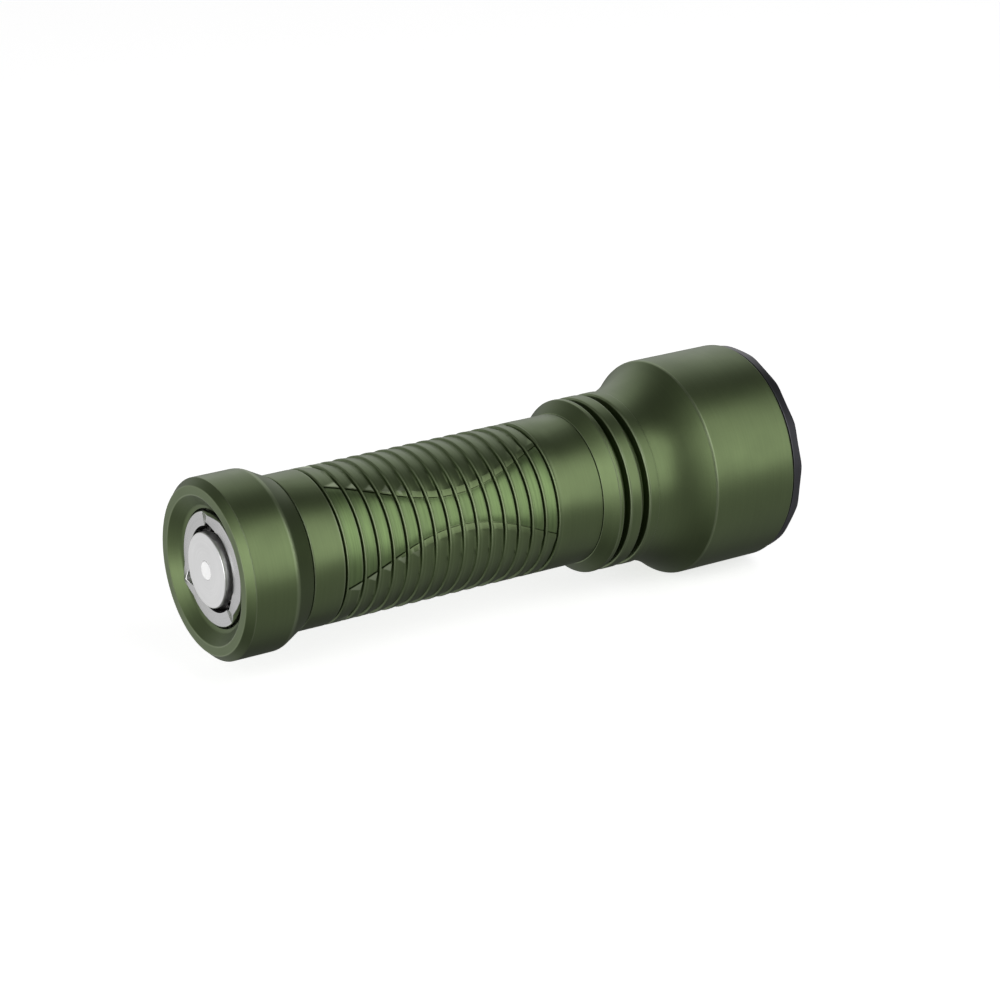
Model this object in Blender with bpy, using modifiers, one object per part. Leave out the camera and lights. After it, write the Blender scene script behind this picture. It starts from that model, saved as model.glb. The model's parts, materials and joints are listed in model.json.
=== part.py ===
"""A compact tactical flashlight, modelled lying on its side.

The torch's axis runs along world +X, from the tail rim to the bezel, and +Z is up. The origin is on the
surface that the torch lies on, below the middle of its length. Every piece is drawn round its parent's
local Z axis, where z = 0 is the tail rim and z = LENGTH is the front of the bezel. A profile is a list of
(z, radius) points. All sizes are in metres.
"""

from math import cos, pi, radians, sin, sqrt

import bmesh
import bpy
from mathutils import Matrix, Vector

# Whole torch
LENGTH = 0.100
HEAD_RADIUS = 0.0175
TUBE_RADIUS = 0.01205
OUTER_SIDES = 32
INNER_SIDES = 24
GAP = 0.0003
FINE_GAP = 0.00012
AXIS_HEIGHT = HEAD_RADIUS * cos(pi / OUTER_SIDES)

# Tail cap
CAP_LENGTH = 0.0119
CAP_RADIUS = 0.0140
CAP_TAPER_START = 0.0083
CAP_RIM_RADIUS = 0.0129
CAP_RIM_CHAMFER = 0.0012
CAP_MOUTH_RADIUS = 0.0121
RECESS_LIP_RADIUS = 0.0115
RECESS_DEPTH = 0.0018
CROWN_BORE_RADIUS = 0.00915
CAP_SHELF = 0.0033
THREAD_BORE_RADIUS = 0.0112

# Charging contact crown
CROWN_RADIUS = 0.00882
CROWN_INNER_RADIUS = 0.0067
CROWN_FACE = 0.00134
CROWN_FLANGE_RADIUS = 0.0106
CROWN_FLANGE_THICKNESS = 0.0007
CROWN_EDGE = 0.0003
LUG_ANGLES = (90.0, 210.0, 330.0)
LUG_RISE = 0.0005
LUG_WIDTH = 0.0034
LUG_DEPTH = 0.0016
LUG_TIP_WIDTH = 0.0019
LUG_TIP_DEPTH = 0.0013

# Button and switch
BUTTON_RADIUS = 0.00577
BUTTON_FACE = 0.00046
BUTTON_THICKNESS = 0.00144
BUTTON_TRAVEL = 0.0007
BUTTON_EDGE = 0.0002
CENTER_CONTACT_RADIUS = 0.00145
CENTER_CONTACT_HEIGHT = 0.00075
CENTER_CONTACT_PROUD = 0.00006
STEM_RADIUS = 0.0020
STEM_FLANGE_RADIUS = 0.0045
STEM_FLANGE_THICKNESS = 0.0004
STEM_END = 0.0045
SEAL_RADIUS = 0.0046
SEAL_THICKNESS = 0.0005
RETURN_COIL_RADIUS = 0.0053
RETURN_WIRE_RADIUS = 0.0002
RETURN_TURNS = 3
INSULATOR_THICKNESS = 0.0004
MAGNET_INNER_RADIUS = 0.0042
MAGNET_THICKNESS = 0.0012
SWITCH_WIDTH = 0.0050
SWITCH_THICKNESS = 0.0011
PLUNGER_RADIUS = 0.00095
PLUNGER_LENGTH = 0.0009
TAIL_BOARD_THICKNESS = 0.0008
CLAMP_RING_THICKNESS = 0.0006
CLAMP_RING_BORE = 0.0078
TAIL_COIL_RADIUS = 0.0056
TAIL_COIL_TIP_RADIUS = 0.0034
TAIL_WIRE_RADIUS = 0.0003
TAIL_TURNS = 4

# Battery tube
TUBE_START = 0.0085
TUBE_SHOULDER = CAP_LENGTH + 0.0002
TUBE_END = 0.0640
TUBE_NOSE = 0.0689
TUBE_BORE_RADIUS = 0.0097
SPIGOT_RADIUS = 0.0109
SPIGOT_LEAD = 0.0003
FIRST_GROOVE = 0.01757
SECOND_GROOVE = 0.02059
GROOVE_PITCH = 0.0025
GROOVE_COUNT = 16
GROOVE_DEPTH = 0.00055
GROOVE_TAIL_HALF = 0.00035
GROOVE_HEAD_HALF = 0.00050
TUBE_SIDES = 32
SEAL_GROOVE_WIDTH = 0.0009
SEAL_GROOVE_RADIUS = 0.01025
SEAL_RING_RADIUS = 0.0107
SEAL_RING_SECTION = 0.00035
TAIL_SEAL_CENTER = 0.0111
HEAD_SEAL_CENTER = 0.0651

# Rechargeable cell, a size 18500
CELL_START = 0.0122
CELL_END = 0.0616
CELL_RADIUS = 0.0090
CELL_WALL = 0.0003
CELL_BASE = 0.0004
CORE_RADIUS = 0.0084
CORE_END = 0.0608
SLEEVE_RADIUS = 0.00935
SLEEVE_WALL = 0.0002
CELL_CAP_RADIUS = 0.0035
CELL_CAP_START = 0.0611
CELL_CAP_END = 0.0630
CELL_INSULATOR_RADIUS = 0.0089
CELL_INSULATOR_THICKNESS = 0.0003

# Driver
DRIVER_SPRING_RADIUS = 0.0024
DRIVER_WIRE_RADIUS = 0.0003
DRIVER_SPRING_TURNS = 4
DRIVER_RING_START = 0.0692
DRIVER_RING_BORE = 0.0084
DRIVER_BOARD_START = 0.0701
DRIVER_BOARD_THICKNESS = 0.0010
DRIVER_RADIUS = 0.0109
INDUCTOR_WIDTH = 0.0040
INDUCTOR_THICKNESS = 0.0016
INDUCTOR_OFFSET = 0.0035
CONTROLLER_WIDTH = 0.0030
CONTROLLER_THICKNESS = 0.0009

# Head housing
HEAD_START = 0.0641
HEAD_END = 0.0975
FIN_RADIUS = 0.0140
FIN_VALLEY_RADIUS = 0.0124
FIN_WALL_LEAN = 0.00015
COLLAR_START = 0.0660
FIN_VALLEYS = ((0.0668, 0.0680), (0.0703, 0.0716))
FIN_END = 0.0737
FLARE_START = 0.0755
FLARE_END = 0.08225
FLARE_HOLLOW = 0.00055
FLARE_STEPS = 5
HEAD_EDGE = 0.0003
SHELF_REAR = 0.0732
SHELF_FRONT = 0.0760
SHELF_RADIUS = 0.0112
CAVITY_RADIUS = 0.0152
CAVITY_START = 0.0835
LEDGE = 0.0936
BEZEL_BORE_RADIUS = 0.0163

# Light engine
BOARD_RADIUS = 0.0095
BOARD_THICKNESS = 0.0014
LED_WIDTH = 0.0050
LED_THICKNESS = 0.0006
DIE_WIDTH = 0.0024
DIE_RISE = 0.0002
CENTERING_INNER_RADIUS = 0.0038
CENTERING_RADIUS = 0.0055
CENTERING_THICKNESS = 0.0009
SCREW_CIRCLE = 0.0072
SCREW_SHANK_RADIUS = 0.0006
SCREW_HEAD_RADIUS = 0.0011
SCREW_HEAD_THICKNESS = 0.0005
SCREW_DEPTH = 0.0011
SCREW_HOLE_RADIUS = 0.0009
SCREW_SLOT_WIDTH = 0.0004
WIRE_CIRCLE = 0.0080
WIRE_RADIUS = 0.0004
WIRE_HOLE_RADIUS = 0.0008
REFLECTOR_REAR = 0.0790
REFLECTOR_FRONT = 0.0940
REFLECTOR_MOUTH_RADIUS = 0.0143
REFLECTOR_WALL = 0.0006
REFLECTOR_FLANGE_RADIUS = 0.0159
REFLECTOR_FLANGE_THICKNESS = 0.0005
REFLECTOR_STEPS = 7

# Lens and bezel
LENS_RADIUS = 0.0151
LENS_START = 0.0947
LENS_THICKNESS = 0.0018
LENS_EDGE = 0.0002
LENS_SEAL_RADIUS = 0.0146
LENS_SEAL_SECTION = 0.0004
BEZEL_FLANGE_START = HEAD_END + GAP
BEZEL_RADIUS = 0.01715
BEZEL_SHOULDER = 0.0995
BEZEL_SHOULDER_RADIUS = 0.0169
BEZEL_FRONT_RADIUS = 0.0163
BEZEL_MOUTH_RADIUS = 0.0146
BEZEL_LIP_RADIUS = 0.0140
BEZEL_LIP_START = 0.0992
BEZEL_SKIRT_RADIUS = 0.0160
BEZEL_SKIRT_INNER_RADIUS = 0.0154
BEZEL_SKIRT_START = 0.0946
SCALLOP_COUNT = 15
SCALLOP_RADIUS = 0.0030
SCALLOP_DEPTH = 0.0008
SCALLOP_SIDES = 16

MERGE_DISTANCE = 1e-6
PIN_SIDES = 12
COIL_POINTS_PER_TURN = 10


def clear_scene():
    for obj in list(bpy.data.objects):
        bpy.data.objects.remove(obj, do_unlink=True)


def make_collection(name):
    collection = bpy.data.collections.new(name)
    bpy.context.scene.collection.children.link(collection)
    return collection


def make_material(name, colour, roughness, metallic):
    material = bpy.data.materials.new(name)
    material.use_nodes = True
    shader = material.node_tree.nodes["Principled BSDF"]
    shader.inputs["Base Color"].default_value = (*colour, 1.0)
    shader.inputs["Roughness"].default_value = roughness
    shader.inputs["Metallic"].default_value = metallic
    return material


def make_materials():
    return {
        "olive_anodised": make_material("olive_anodised", (0.080, 0.127, 0.045), 0.42, 0.75),
        "dark_anodised": make_material("dark_anodised", (0.030, 0.030, 0.034), 0.40, 0.8),
        "silver_contact": make_material("silver_contact", (0.72, 0.72, 0.71), 0.30, 1.0),
        "grey_button": make_material("grey_button", (0.62, 0.63, 0.62), 0.45, 0.2),
        "white_contact": make_material("white_contact", (0.85, 0.85, 0.84), 0.40, 0.1),
        "black_plastic": make_material("black_plastic", (0.020, 0.020, 0.022), 0.55, 0.0),
        "black_rubber": make_material("black_rubber", (0.015, 0.015, 0.015), 0.80, 0.0),
        "spring_steel": make_material("spring_steel", (0.60, 0.60, 0.58), 0.25, 1.0),
        "gold_plating": make_material("gold_plating", (0.80, 0.58, 0.25), 0.25, 1.0),
        "brass": make_material("brass", (0.66, 0.50, 0.24), 0.35, 1.0),
        "magnet_nickel": make_material("magnet_nickel", (0.50, 0.50, 0.50), 0.30, 1.0),
        "board_green": make_material("board_green", (0.020, 0.110, 0.045), 0.50, 0.0),
        "board_white": make_material("board_white", (0.75, 0.75, 0.72), 0.50, 0.0),
        "chip_black": make_material("chip_black", (0.025, 0.025, 0.028), 0.45, 0.0),
        "led_phosphor": make_material("led_phosphor", (0.85, 0.70, 0.12), 0.50, 0.0),
        "mirror_reflector": make_material("mirror_reflector", (0.90, 0.90, 0.90), 0.06, 1.0),
        "coated_glass": make_material("coated_glass", (0.75, 0.80, 0.82), 0.03, 0.0),
        "cell_film": make_material("cell_film", (0.035, 0.035, 0.040), 0.35, 0.0),
        "cell_steel": make_material("cell_steel", (0.55, 0.55, 0.55), 0.30, 1.0),
        "cell_roll": make_material("cell_roll", (0.30, 0.27, 0.24), 0.50, 0.4),
        "white_card": make_material("white_card", (0.80, 0.80, 0.78), 0.80, 0.0),
        "wire_red": make_material("wire_red", (0.50, 0.02, 0.02), 0.50, 0.0),
    }


def make_axis(name, collection, parent=None):
    axis = bpy.data.objects.new(name, None)
    axis.empty_display_size = CAP_LENGTH
    axis.parent = parent
    collection.objects.link(axis)
    return axis


def place(obj, axis, material):
    """Puts a piece under its axis, with its material."""
    obj.parent = axis
    obj.data.materials.append(material)
    axis.users_collection[0].objects.link(obj)
    return obj


def mesh_object(name, bm):
    mesh = bpy.data.meshes.new(name)
    bmesh.ops.recalc_face_normals(bm, faces=bm.faces)
    bm.to_mesh(mesh)
    bm.free()
    return bpy.data.objects.new(name, mesh)


def runs_down_its_outer_side(profile):
    """True when the area to the right of the (z, radius) path makes its turned faces point out."""
    closed = profile + profile[:1]
    return sum(r0 * z1 - r1 * z0 for (z0, r0), (z1, r1) in zip(closed, closed[1:])) < 0


def turned(name, profile, axis, material, sides=INNER_SIDES):
    """A profile of (z, radius) points turned round the axis, starting half a side round so that it lies flat.

    A profile that starts and ends on the axis makes a solid disc; any other is closed into a ring.
    """
    points = profile if runs_down_its_outer_side(profile) else profile[::-1]
    touches_axis = points[0][1] == 0 and points[-1][1] == 0
    half_side = pi / sides
    vertices = [(r * cos(half_side), r * sin(half_side), z) for z, r in points]
    edges = [(i, i + 1) for i in range(len(points) - 1)]
    if not touches_axis:
        edges.append((len(points) - 1, 0))
    mesh = bpy.data.meshes.new(name)
    mesh.from_pydata(vertices, edges, [])
    obj = bpy.data.objects.new(name, mesh)
    screw = obj.modifiers.new("turn", "SCREW")
    screw.axis = "Z"
    screw.angle = radians(360)
    screw.steps = sides
    screw.render_steps = sides
    screw.use_merge_vertices = True
    screw.merge_threshold = MERGE_DISTANCE
    screw.use_smooth_shade = True
    return place(obj, axis, material)


def ring(start, end, inner, outer):
    """The profile of a plain ring."""
    return [(end, inner), (end, outer), (start, outer), (start, inner)]


def disc(start, end, radius, edge=0.0):
    """The profile of a disc, with a chamfer on both rims when edge is given."""
    if not edge:
        return [(end, 0), (end, radius), (start, radius), (start, 0)]
    return [
        (end, 0),
        (end, radius - edge),
        (end - edge, radius),
        (start + edge, radius),
        (start, radius - edge),
        (start, 0),
    ]


def round_ring(center, radius, section, points=6):
    """The profile of an O-ring."""
    angles = [2 * pi * i / points for i in range(points)]
    return [(center + section * cos(a), radius + section * sin(a)) for a in angles]


def block(name, width, start, end, axis, material, offset=(0.0, 0.0)):
    """A square block across the axis, from start to end along it."""
    bm = bmesh.new()
    middle = Vector((offset[0], offset[1], (start + end) / 2))
    size = Matrix.Diagonal((width, width, end - start, 1))
    bmesh.ops.create_cube(bm, size=1, matrix=Matrix.Translation(middle) @ size)
    return place(mesh_object(name, bm), axis, material)


def pin_mesh(bm, radius, start, end, x, y):
    """Adds a closed pin parallel to the axis."""
    bmesh.ops.create_cone(
        bm,
        cap_ends=True,
        segments=PIN_SIDES,
        radius1=radius,
        radius2=radius,
        depth=end - start,
        matrix=Matrix.Translation((x, y, (start + end) / 2)),
    )


def coil(name, start, end, radii, wire, turns, axis, material):
    """A wire wound round the axis, from radii[0] at start to radii[1] at end."""
    count = turns * COIL_POINTS_PER_TURN
    curve = bpy.data.curves.new(name, "CURVE")
    curve.dimensions = "3D"
    curve.bevel_depth = wire
    curve.bevel_resolution = 1
    curve.use_fill_caps = True
    spline = curve.splines.new("POLY")
    spline.points.add(count)
    for i, point in enumerate(spline.points):
        part = i / count
        angle = 2 * pi * i / COIL_POINTS_PER_TURN
        radius = radii[0] + (radii[1] - radii[0]) * part
        z = start + wire + (end - start - 2 * wire) * part
        point.co = (radius * cos(angle), radius * sin(angle), z, 1)
    return place(bpy.data.objects.new(name, curve), axis, material)


def cutter(name, bm, axis, cutters):
    """A hidden tool shape that a Boolean modifier cuts with."""
    obj = mesh_object(name, bm)
    obj.parent = axis
    obj.hide_render = True
    obj.display_type = "WIRE"
    cutters.objects.link(obj)
    return obj


def combine(obj, other, operation):
    boolean = obj.modifiers.new(other.name, "BOOLEAN")
    boolean.operation = operation
    boolean.solver = "EXACT"
    boolean.object = other


def around(radius, degrees):
    """The local (x, y) at an angle seen from behind the tail: 0 is to the right, 90 is up."""
    return -radius * sin(radians(degrees)), -radius * cos(radians(degrees))


def make_tail_cap(axis, finish):
    profile = [
        (CAP_LENGTH, THREAD_BORE_RADIUS),
        (CAP_LENGTH, CAP_MOUTH_RADIUS),
        (CAP_TAPER_START, CAP_RADIUS),
        (CAP_RIM_CHAMFER, CAP_RADIUS),
        (0, CAP_RIM_RADIUS),
        (0, RECESS_LIP_RADIUS),
        (RECESS_DEPTH, CROWN_BORE_RADIUS),
        (CAP_SHELF, CROWN_BORE_RADIUS),
        (CAP_SHELF, THREAD_BORE_RADIUS),
    ]
    turned("tail_cap", profile, axis, finish["olive_anodised"], OUTER_SIDES)


def crown_lugs(axis, cutters):
    """Three wedge-shaped lugs that rise towards the tail."""
    bm = bmesh.new()
    low = CROWN_FACE + GAP
    middle = (CROWN_INNER_RADIUS + CROWN_RADIUS) / 2
    for angle in LUG_ANGLES:
        x, y = around(middle, angle)
        turn = Matrix.Translation((x, y, low)) @ Matrix.Rotation(radians(-90 - angle), 4, "Z")
        wedge = bmesh.ops.create_cube(bm, size=1)["verts"]
        for vertex in wedge:
            at_tip = vertex.co.z < 0
            vertex.co.x *= LUG_TIP_DEPTH if at_tip else LUG_DEPTH
            vertex.co.y *= LUG_TIP_WIDTH if at_tip else LUG_WIDTH
            vertex.co.z = -(LUG_RISE + GAP) if at_tip else 0
            vertex.co = turn @ vertex.co
    return cutter("crown_lugs", bm, axis, cutters)


def make_contact_crown(axis, cutters, finish):
    flange_start = CAP_SHELF + GAP
    flange_end = flange_start + CROWN_FLANGE_THICKNESS
    profile = [
        (flange_end, CROWN_INNER_RADIUS),
        (flange_end, CROWN_FLANGE_RADIUS),
        (flange_start, CROWN_FLANGE_RADIUS),
        (flange_start, CROWN_RADIUS),
        (CROWN_FACE + CROWN_EDGE, CROWN_RADIUS),
        (CROWN_FACE, CROWN_RADIUS - CROWN_EDGE),
        (CROWN_FACE, CROWN_INNER_RADIUS),
    ]
    crown = turned("contact_crown", profile, axis, finish["silver_contact"], OUTER_SIDES)
    combine(crown, crown_lugs(axis, cutters), "UNION")
    return flange_end


def make_tail_stack(axis, thread_axis, flange_end, finish):
    """The insulator, magnet, switch, board and clamp ring, one behind the other; returns the board's front."""
    insulator_start = flange_end + GAP
    insulator_end = insulator_start + INSULATOR_THICKNESS
    inner = CROWN_INNER_RADIUS + GAP
    profile = ring(insulator_start, insulator_end, inner, SPIGOT_RADIUS)
    turned("contact_insulator", profile, axis, finish["black_plastic"])

    magnet_start = insulator_end + GAP
    magnet_end = magnet_start + MAGNET_THICKNESS
    profile = ring(magnet_start, magnet_end, MAGNET_INNER_RADIUS, CROWN_FLANGE_RADIUS)
    turned("charge_magnet", profile, axis, finish["magnet_nickel"])

    board_start = magnet_end + GAP
    board_end = board_start + TAIL_BOARD_THICKNESS
    turned("switch_board", disc(board_start, board_end, SPIGOT_RADIUS), axis, finish["board_green"])

    ring_start = board_end + GAP
    profile = ring(ring_start, ring_start + CLAMP_RING_THICKNESS, CLAMP_RING_BORE, SPIGOT_RADIUS)
    turned("switch_retaining_ring", profile, axis, finish["brass"])

    radii = (TAIL_COIL_RADIUS, TAIL_COIL_TIP_RADIUS)
    coil(
        "tail_contact_spring",
        board_end + GAP,
        CELL_START - GAP,
        radii,
        TAIL_WIRE_RADIUS,
        TAIL_TURNS,
        thread_axis,
        finish["gold_plating"],
    )
    return magnet_start, board_start


def make_switch(axis, button_axis, board_start, cutters, finish):
    start = board_start - GAP - SWITCH_THICKNESS
    end = board_start - GAP
    body = block("switch_body", SWITCH_WIDTH, start, end, axis, finish["black_plastic"])
    bm = bmesh.new()
    pin_mesh(bm, PLUNGER_RADIUS + GAP, start - GAP, end + GAP, 0, 0)
    combine(body, cutter("switch_bore", bm, axis, cutters), "DIFFERENCE")

    plunger_start = STEM_END + GAP
    plunger = disc(plunger_start, plunger_start + PLUNGER_LENGTH, PLUNGER_RADIUS)
    turned("switch_plunger", plunger, button_axis, finish["grey_button"], PIN_SIDES)


def make_button(axis, finish):
    end = BUTTON_FACE + BUTTON_THICKNESS
    pocket_radius = CENTER_CONTACT_RADIUS + FINE_GAP
    pocket_end = BUTTON_FACE + CENTER_CONTACT_HEIGHT + FINE_GAP
    profile = [
        (end, 0),
        (end, BUTTON_RADIUS),
        (BUTTON_FACE + BUTTON_EDGE, BUTTON_RADIUS),
        (BUTTON_FACE, BUTTON_RADIUS - BUTTON_EDGE),
        (BUTTON_FACE, pocket_radius),
        (pocket_end, pocket_radius),
        (pocket_end, 0),
    ]
    turned("button_disc", profile, axis, finish["grey_button"])

    contact_start = BUTTON_FACE - CENTER_CONTACT_PROUD
    profile = disc(contact_start, BUTTON_FACE + CENTER_CONTACT_HEIGHT, CENTER_CONTACT_RADIUS)
    turned("button_center_contact", profile, axis, finish["white_contact"])

    stem_start = end + GAP
    flange_end = stem_start + STEM_FLANGE_THICKNESS
    profile = [
        (STEM_END, 0),
        (STEM_END, STEM_RADIUS),
        (flange_end, STEM_RADIUS),
        (flange_end, STEM_FLANGE_RADIUS),
        (stem_start, STEM_FLANGE_RADIUS),
        (stem_start, 0),
    ]
    turned("button_stem", profile, axis, finish["black_plastic"])
    return end, flange_end


def make_button_seal_and_spring(axis, button_axis, disc_end, flange_end, magnet_start, finish):
    seal_start = flange_end + BUTTON_TRAVEL + FINE_GAP
    profile = ring(seal_start, seal_start + SEAL_THICKNESS, STEM_RADIUS + GAP, SEAL_RADIUS)
    turned("button_seal", profile, axis, finish["black_rubber"])
    radii = (RETURN_COIL_RADIUS, RETURN_COIL_RADIUS)
    coil(
        "button_return_spring",
        disc_end + GAP,
        magnet_start - GAP,
        radii,
        RETURN_WIRE_RADIUS,
        RETURN_TURNS,
        button_axis,
        finish["spring_steel"],
    )


def groove_centers():
    """The grip's grooves: a wider first ridge, then an even pitch."""
    return [FIRST_GROOVE] + [SECOND_GROOVE + GROOVE_PITCH * i for i in range(GROOVE_COUNT - 1)]


def seal_groove(center):
    """The floor of an O-ring groove in a spigot, from its head side to its tail side."""
    half = SEAL_GROOVE_WIDTH / 2
    return [
        (center + half, SPIGOT_RADIUS),
        (center + half, SEAL_GROOVE_RADIUS),
        (center - half, SEAL_GROOVE_RADIUS),
        (center - half, SPIGOT_RADIUS),
    ]


def make_battery_tube(axis, finish):
    profile = [(TUBE_NOSE, TUBE_BORE_RADIUS), (TUBE_NOSE, SPIGOT_RADIUS - SPIGOT_LEAD)]
    profile.append((TUBE_NOSE - SPIGOT_LEAD, SPIGOT_RADIUS))
    profile += seal_groove(HEAD_SEAL_CENTER)
    profile += [(TUBE_END, SPIGOT_RADIUS), (TUBE_END, TUBE_RADIUS)]
    for center in reversed(groove_centers()):
        profile.append((center + GROOVE_HEAD_HALF, TUBE_RADIUS))
        profile.append((center, TUBE_RADIUS - GROOVE_DEPTH))
        profile.append((center - GROOVE_TAIL_HALF, TUBE_RADIUS))
    profile += [(TUBE_SHOULDER, TUBE_RADIUS), (TUBE_SHOULDER, SPIGOT_RADIUS)]
    profile += seal_groove(TAIL_SEAL_CENTER)
    profile.append((TUBE_START + SPIGOT_LEAD, SPIGOT_RADIUS))
    profile += [(TUBE_START, SPIGOT_RADIUS - SPIGOT_LEAD), (TUBE_START, TUBE_BORE_RADIUS)]
    turned("battery_tube", profile, axis, finish["olive_anodised"], TUBE_SIDES)

    seals = {"tube_tail_seal": TAIL_SEAL_CENTER, "tube_head_seal": HEAD_SEAL_CENTER}
    for name, center in seals.items():
        profile = round_ring(center, SEAL_RING_RADIUS, SEAL_RING_SECTION)
        turned(name, profile, axis, finish["black_rubber"], TUBE_SIDES)


def make_cell(axis, finish):
    inner = CELL_RADIUS - CELL_WALL
    floor = CELL_START + CELL_BASE
    can = [
        (floor, 0),
        (floor, inner),
        (CELL_END, inner),
        (CELL_END, CELL_RADIUS),
        (CELL_START, CELL_RADIUS),
        (CELL_START, 0),
    ]
    turned("cell_can", can, axis, finish["cell_steel"])
    turned("cell_core", disc(floor + GAP, CORE_END, CORE_RADIUS), axis, finish["cell_roll"])
    sleeve = ring(CELL_START + GAP, CELL_END + 2 * GAP, SLEEVE_RADIUS - SLEEVE_WALL, SLEEVE_RADIUS)
    turned("cell_sleeve", sleeve, axis, finish["cell_film"], TUBE_SIDES)
    start = CELL_END + GAP
    inner = CELL_CAP_RADIUS + GAP
    insulator = ring(start, start + CELL_INSULATOR_THICKNESS, inner, CELL_INSULATOR_RADIUS)
    turned("cell_top_insulator", insulator, axis, finish["white_card"])
    cap = disc(CELL_CAP_START, CELL_CAP_END, CELL_CAP_RADIUS, CELL_WALL)
    turned("cell_positive_cap", cap, axis, finish["cell_steel"])


def make_driver(axis, finish):
    coil(
        "driver_contact_spring",
        CELL_CAP_END + GAP,
        DRIVER_BOARD_START - GAP,
        (DRIVER_SPRING_RADIUS, DRIVER_SPRING_RADIUS),
        DRIVER_WIRE_RADIUS,
        DRIVER_SPRING_TURNS,
        axis,
        finish["gold_plating"],
    )
    profile = ring(DRIVER_RING_START, DRIVER_BOARD_START - GAP, DRIVER_RING_BORE, DRIVER_RADIUS)
    turned("driver_retaining_ring", profile, axis, finish["brass"])
    front = DRIVER_BOARD_START + DRIVER_BOARD_THICKNESS
    board = disc(DRIVER_BOARD_START, front, DRIVER_RADIUS)
    turned("driver_board", board, axis, finish["board_green"])
    start = front + GAP
    spots = ((INDUCTOR_OFFSET, 0.0), (-INDUCTOR_OFFSET, 0.0))
    inductor_end = start + INDUCTOR_THICKNESS
    controller_end = start + CONTROLLER_THICKNESS
    chip = finish["chip_black"]
    block("driver_inductor", INDUCTOR_WIDTH, start, inductor_end, axis, chip, spots[0])
    block("driver_controller", CONTROLLER_WIDTH, start, controller_end, axis, chip, spots[1])
    return front


def head_profile():
    """The head from the middle of the shelf's front, round the outside, to the middle of its rear."""
    points = [
        (SHELF_FRONT, 0),
        (SHELF_FRONT, SHELF_RADIUS),
        (CAVITY_START, CAVITY_RADIUS),
        (LEDGE, CAVITY_RADIUS),
        (LEDGE, BEZEL_BORE_RADIUS),
        (HEAD_END, BEZEL_BORE_RADIUS),
        (HEAD_END, HEAD_RADIUS - HEAD_EDGE),
        (HEAD_END - HEAD_EDGE, HEAD_RADIUS),
    ]
    for step in range(FLARE_STEPS + 1):
        part = step / FLARE_STEPS
        z = FLARE_END + (FLARE_START - FLARE_END) * part
        radius = HEAD_RADIUS + (FIN_RADIUS - HEAD_RADIUS) * part
        points.append((z, radius - 4 * FLARE_HOLLOW * part * (1 - part)))
    points.append((FIN_END, FIN_RADIUS))
    for start, end in reversed(FIN_VALLEYS):
        points.append((end, FIN_RADIUS))
        points.append((end - FIN_WALL_LEAN, FIN_VALLEY_RADIUS))
        points.append((start + FIN_WALL_LEAN, FIN_VALLEY_RADIUS))
        points.append((start, FIN_RADIUS))
    points += [
        (COLLAR_START, FIN_RADIUS),
        (HEAD_START, CAP_MOUTH_RADIUS),
        (HEAD_START, THREAD_BORE_RADIUS),
        (SHELF_REAR, THREAD_BORE_RADIUS),
        (SHELF_REAR, 0),
    ]
    return points


def board_places():
    """Where the two screws and the two leads pass through the LED board and the shelf."""
    screws = {"led_board_screw_left": 0.0, "led_board_screw_right": 180.0}
    wires = {"led_wire_positive": 90.0, "led_wire_negative": 270.0}
    return screws, wires


def board_holes(name, start, end, screw_start, axis, cutters):
    bm = bmesh.new()
    screws, wires = board_places()
    for angle in screws.values():
        pin_mesh(bm, SCREW_HOLE_RADIUS, screw_start, end, *around(SCREW_CIRCLE, angle))
    for angle in wires.values():
        pin_mesh(bm, WIRE_HOLE_RADIUS, start, end, *around(WIRE_CIRCLE, angle))
    return cutter(name, bm, axis, cutters)


def make_head_housing(axis, cutters, finish):
    head = turned("head_housing", head_profile(), axis, finish["olive_anodised"], OUTER_SIDES)
    screw_floor = SHELF_FRONT - SCREW_DEPTH - GAP
    holes = board_holes("shelf_holes", SHELF_REAR - GAP, SHELF_FRONT + GAP, screw_floor, axis, cutters)
    combine(head, holes, "DIFFERENCE")


def make_led_board(axis, cutters, finish):
    start = SHELF_FRONT + GAP
    end = start + BOARD_THICKNESS
    board = turned("led_board", disc(start, end, BOARD_RADIUS), axis, finish["board_white"])
    holes = board_holes("led_board_holes", start - GAP, end + GAP, start - GAP, axis, cutters)
    combine(board, holes, "DIFFERENCE")
    return end


def screw_profile(head_start):
    return [
        (head_start + SCREW_HEAD_THICKNESS, 0),
        (head_start + SCREW_HEAD_THICKNESS, SCREW_HEAD_RADIUS),
        (head_start, SCREW_HEAD_RADIUS),
        (head_start, SCREW_SHANK_RADIUS),
        (SHELF_FRONT - SCREW_DEPTH, SCREW_SHANK_RADIUS),
        (SHELF_FRONT - SCREW_DEPTH, 0),
    ]


def make_board_screws(axis, board_end, cutters, finish):
    head_start = board_end + FINE_GAP
    screws, _ = board_places()
    for name, angle in screws.items():
        screw = turned(name, screw_profile(head_start), axis, finish["spring_steel"], PIN_SIDES)
        x, y = around(SCREW_CIRCLE, angle)
        screw.location = (x, y, 0)
        bm = bmesh.new()
        size = Matrix.Diagonal((SCREW_SLOT_WIDTH, 3 * SCREW_HEAD_RADIUS, SCREW_HEAD_THICKNESS, 1))
        top = Matrix.Translation((x, y, head_start + SCREW_HEAD_THICKNESS))
        bmesh.ops.create_cube(bm, size=1, matrix=top @ size)
        combine(screw, cutter(name + "_slot", bm, axis, cutters), "DIFFERENCE")


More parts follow.
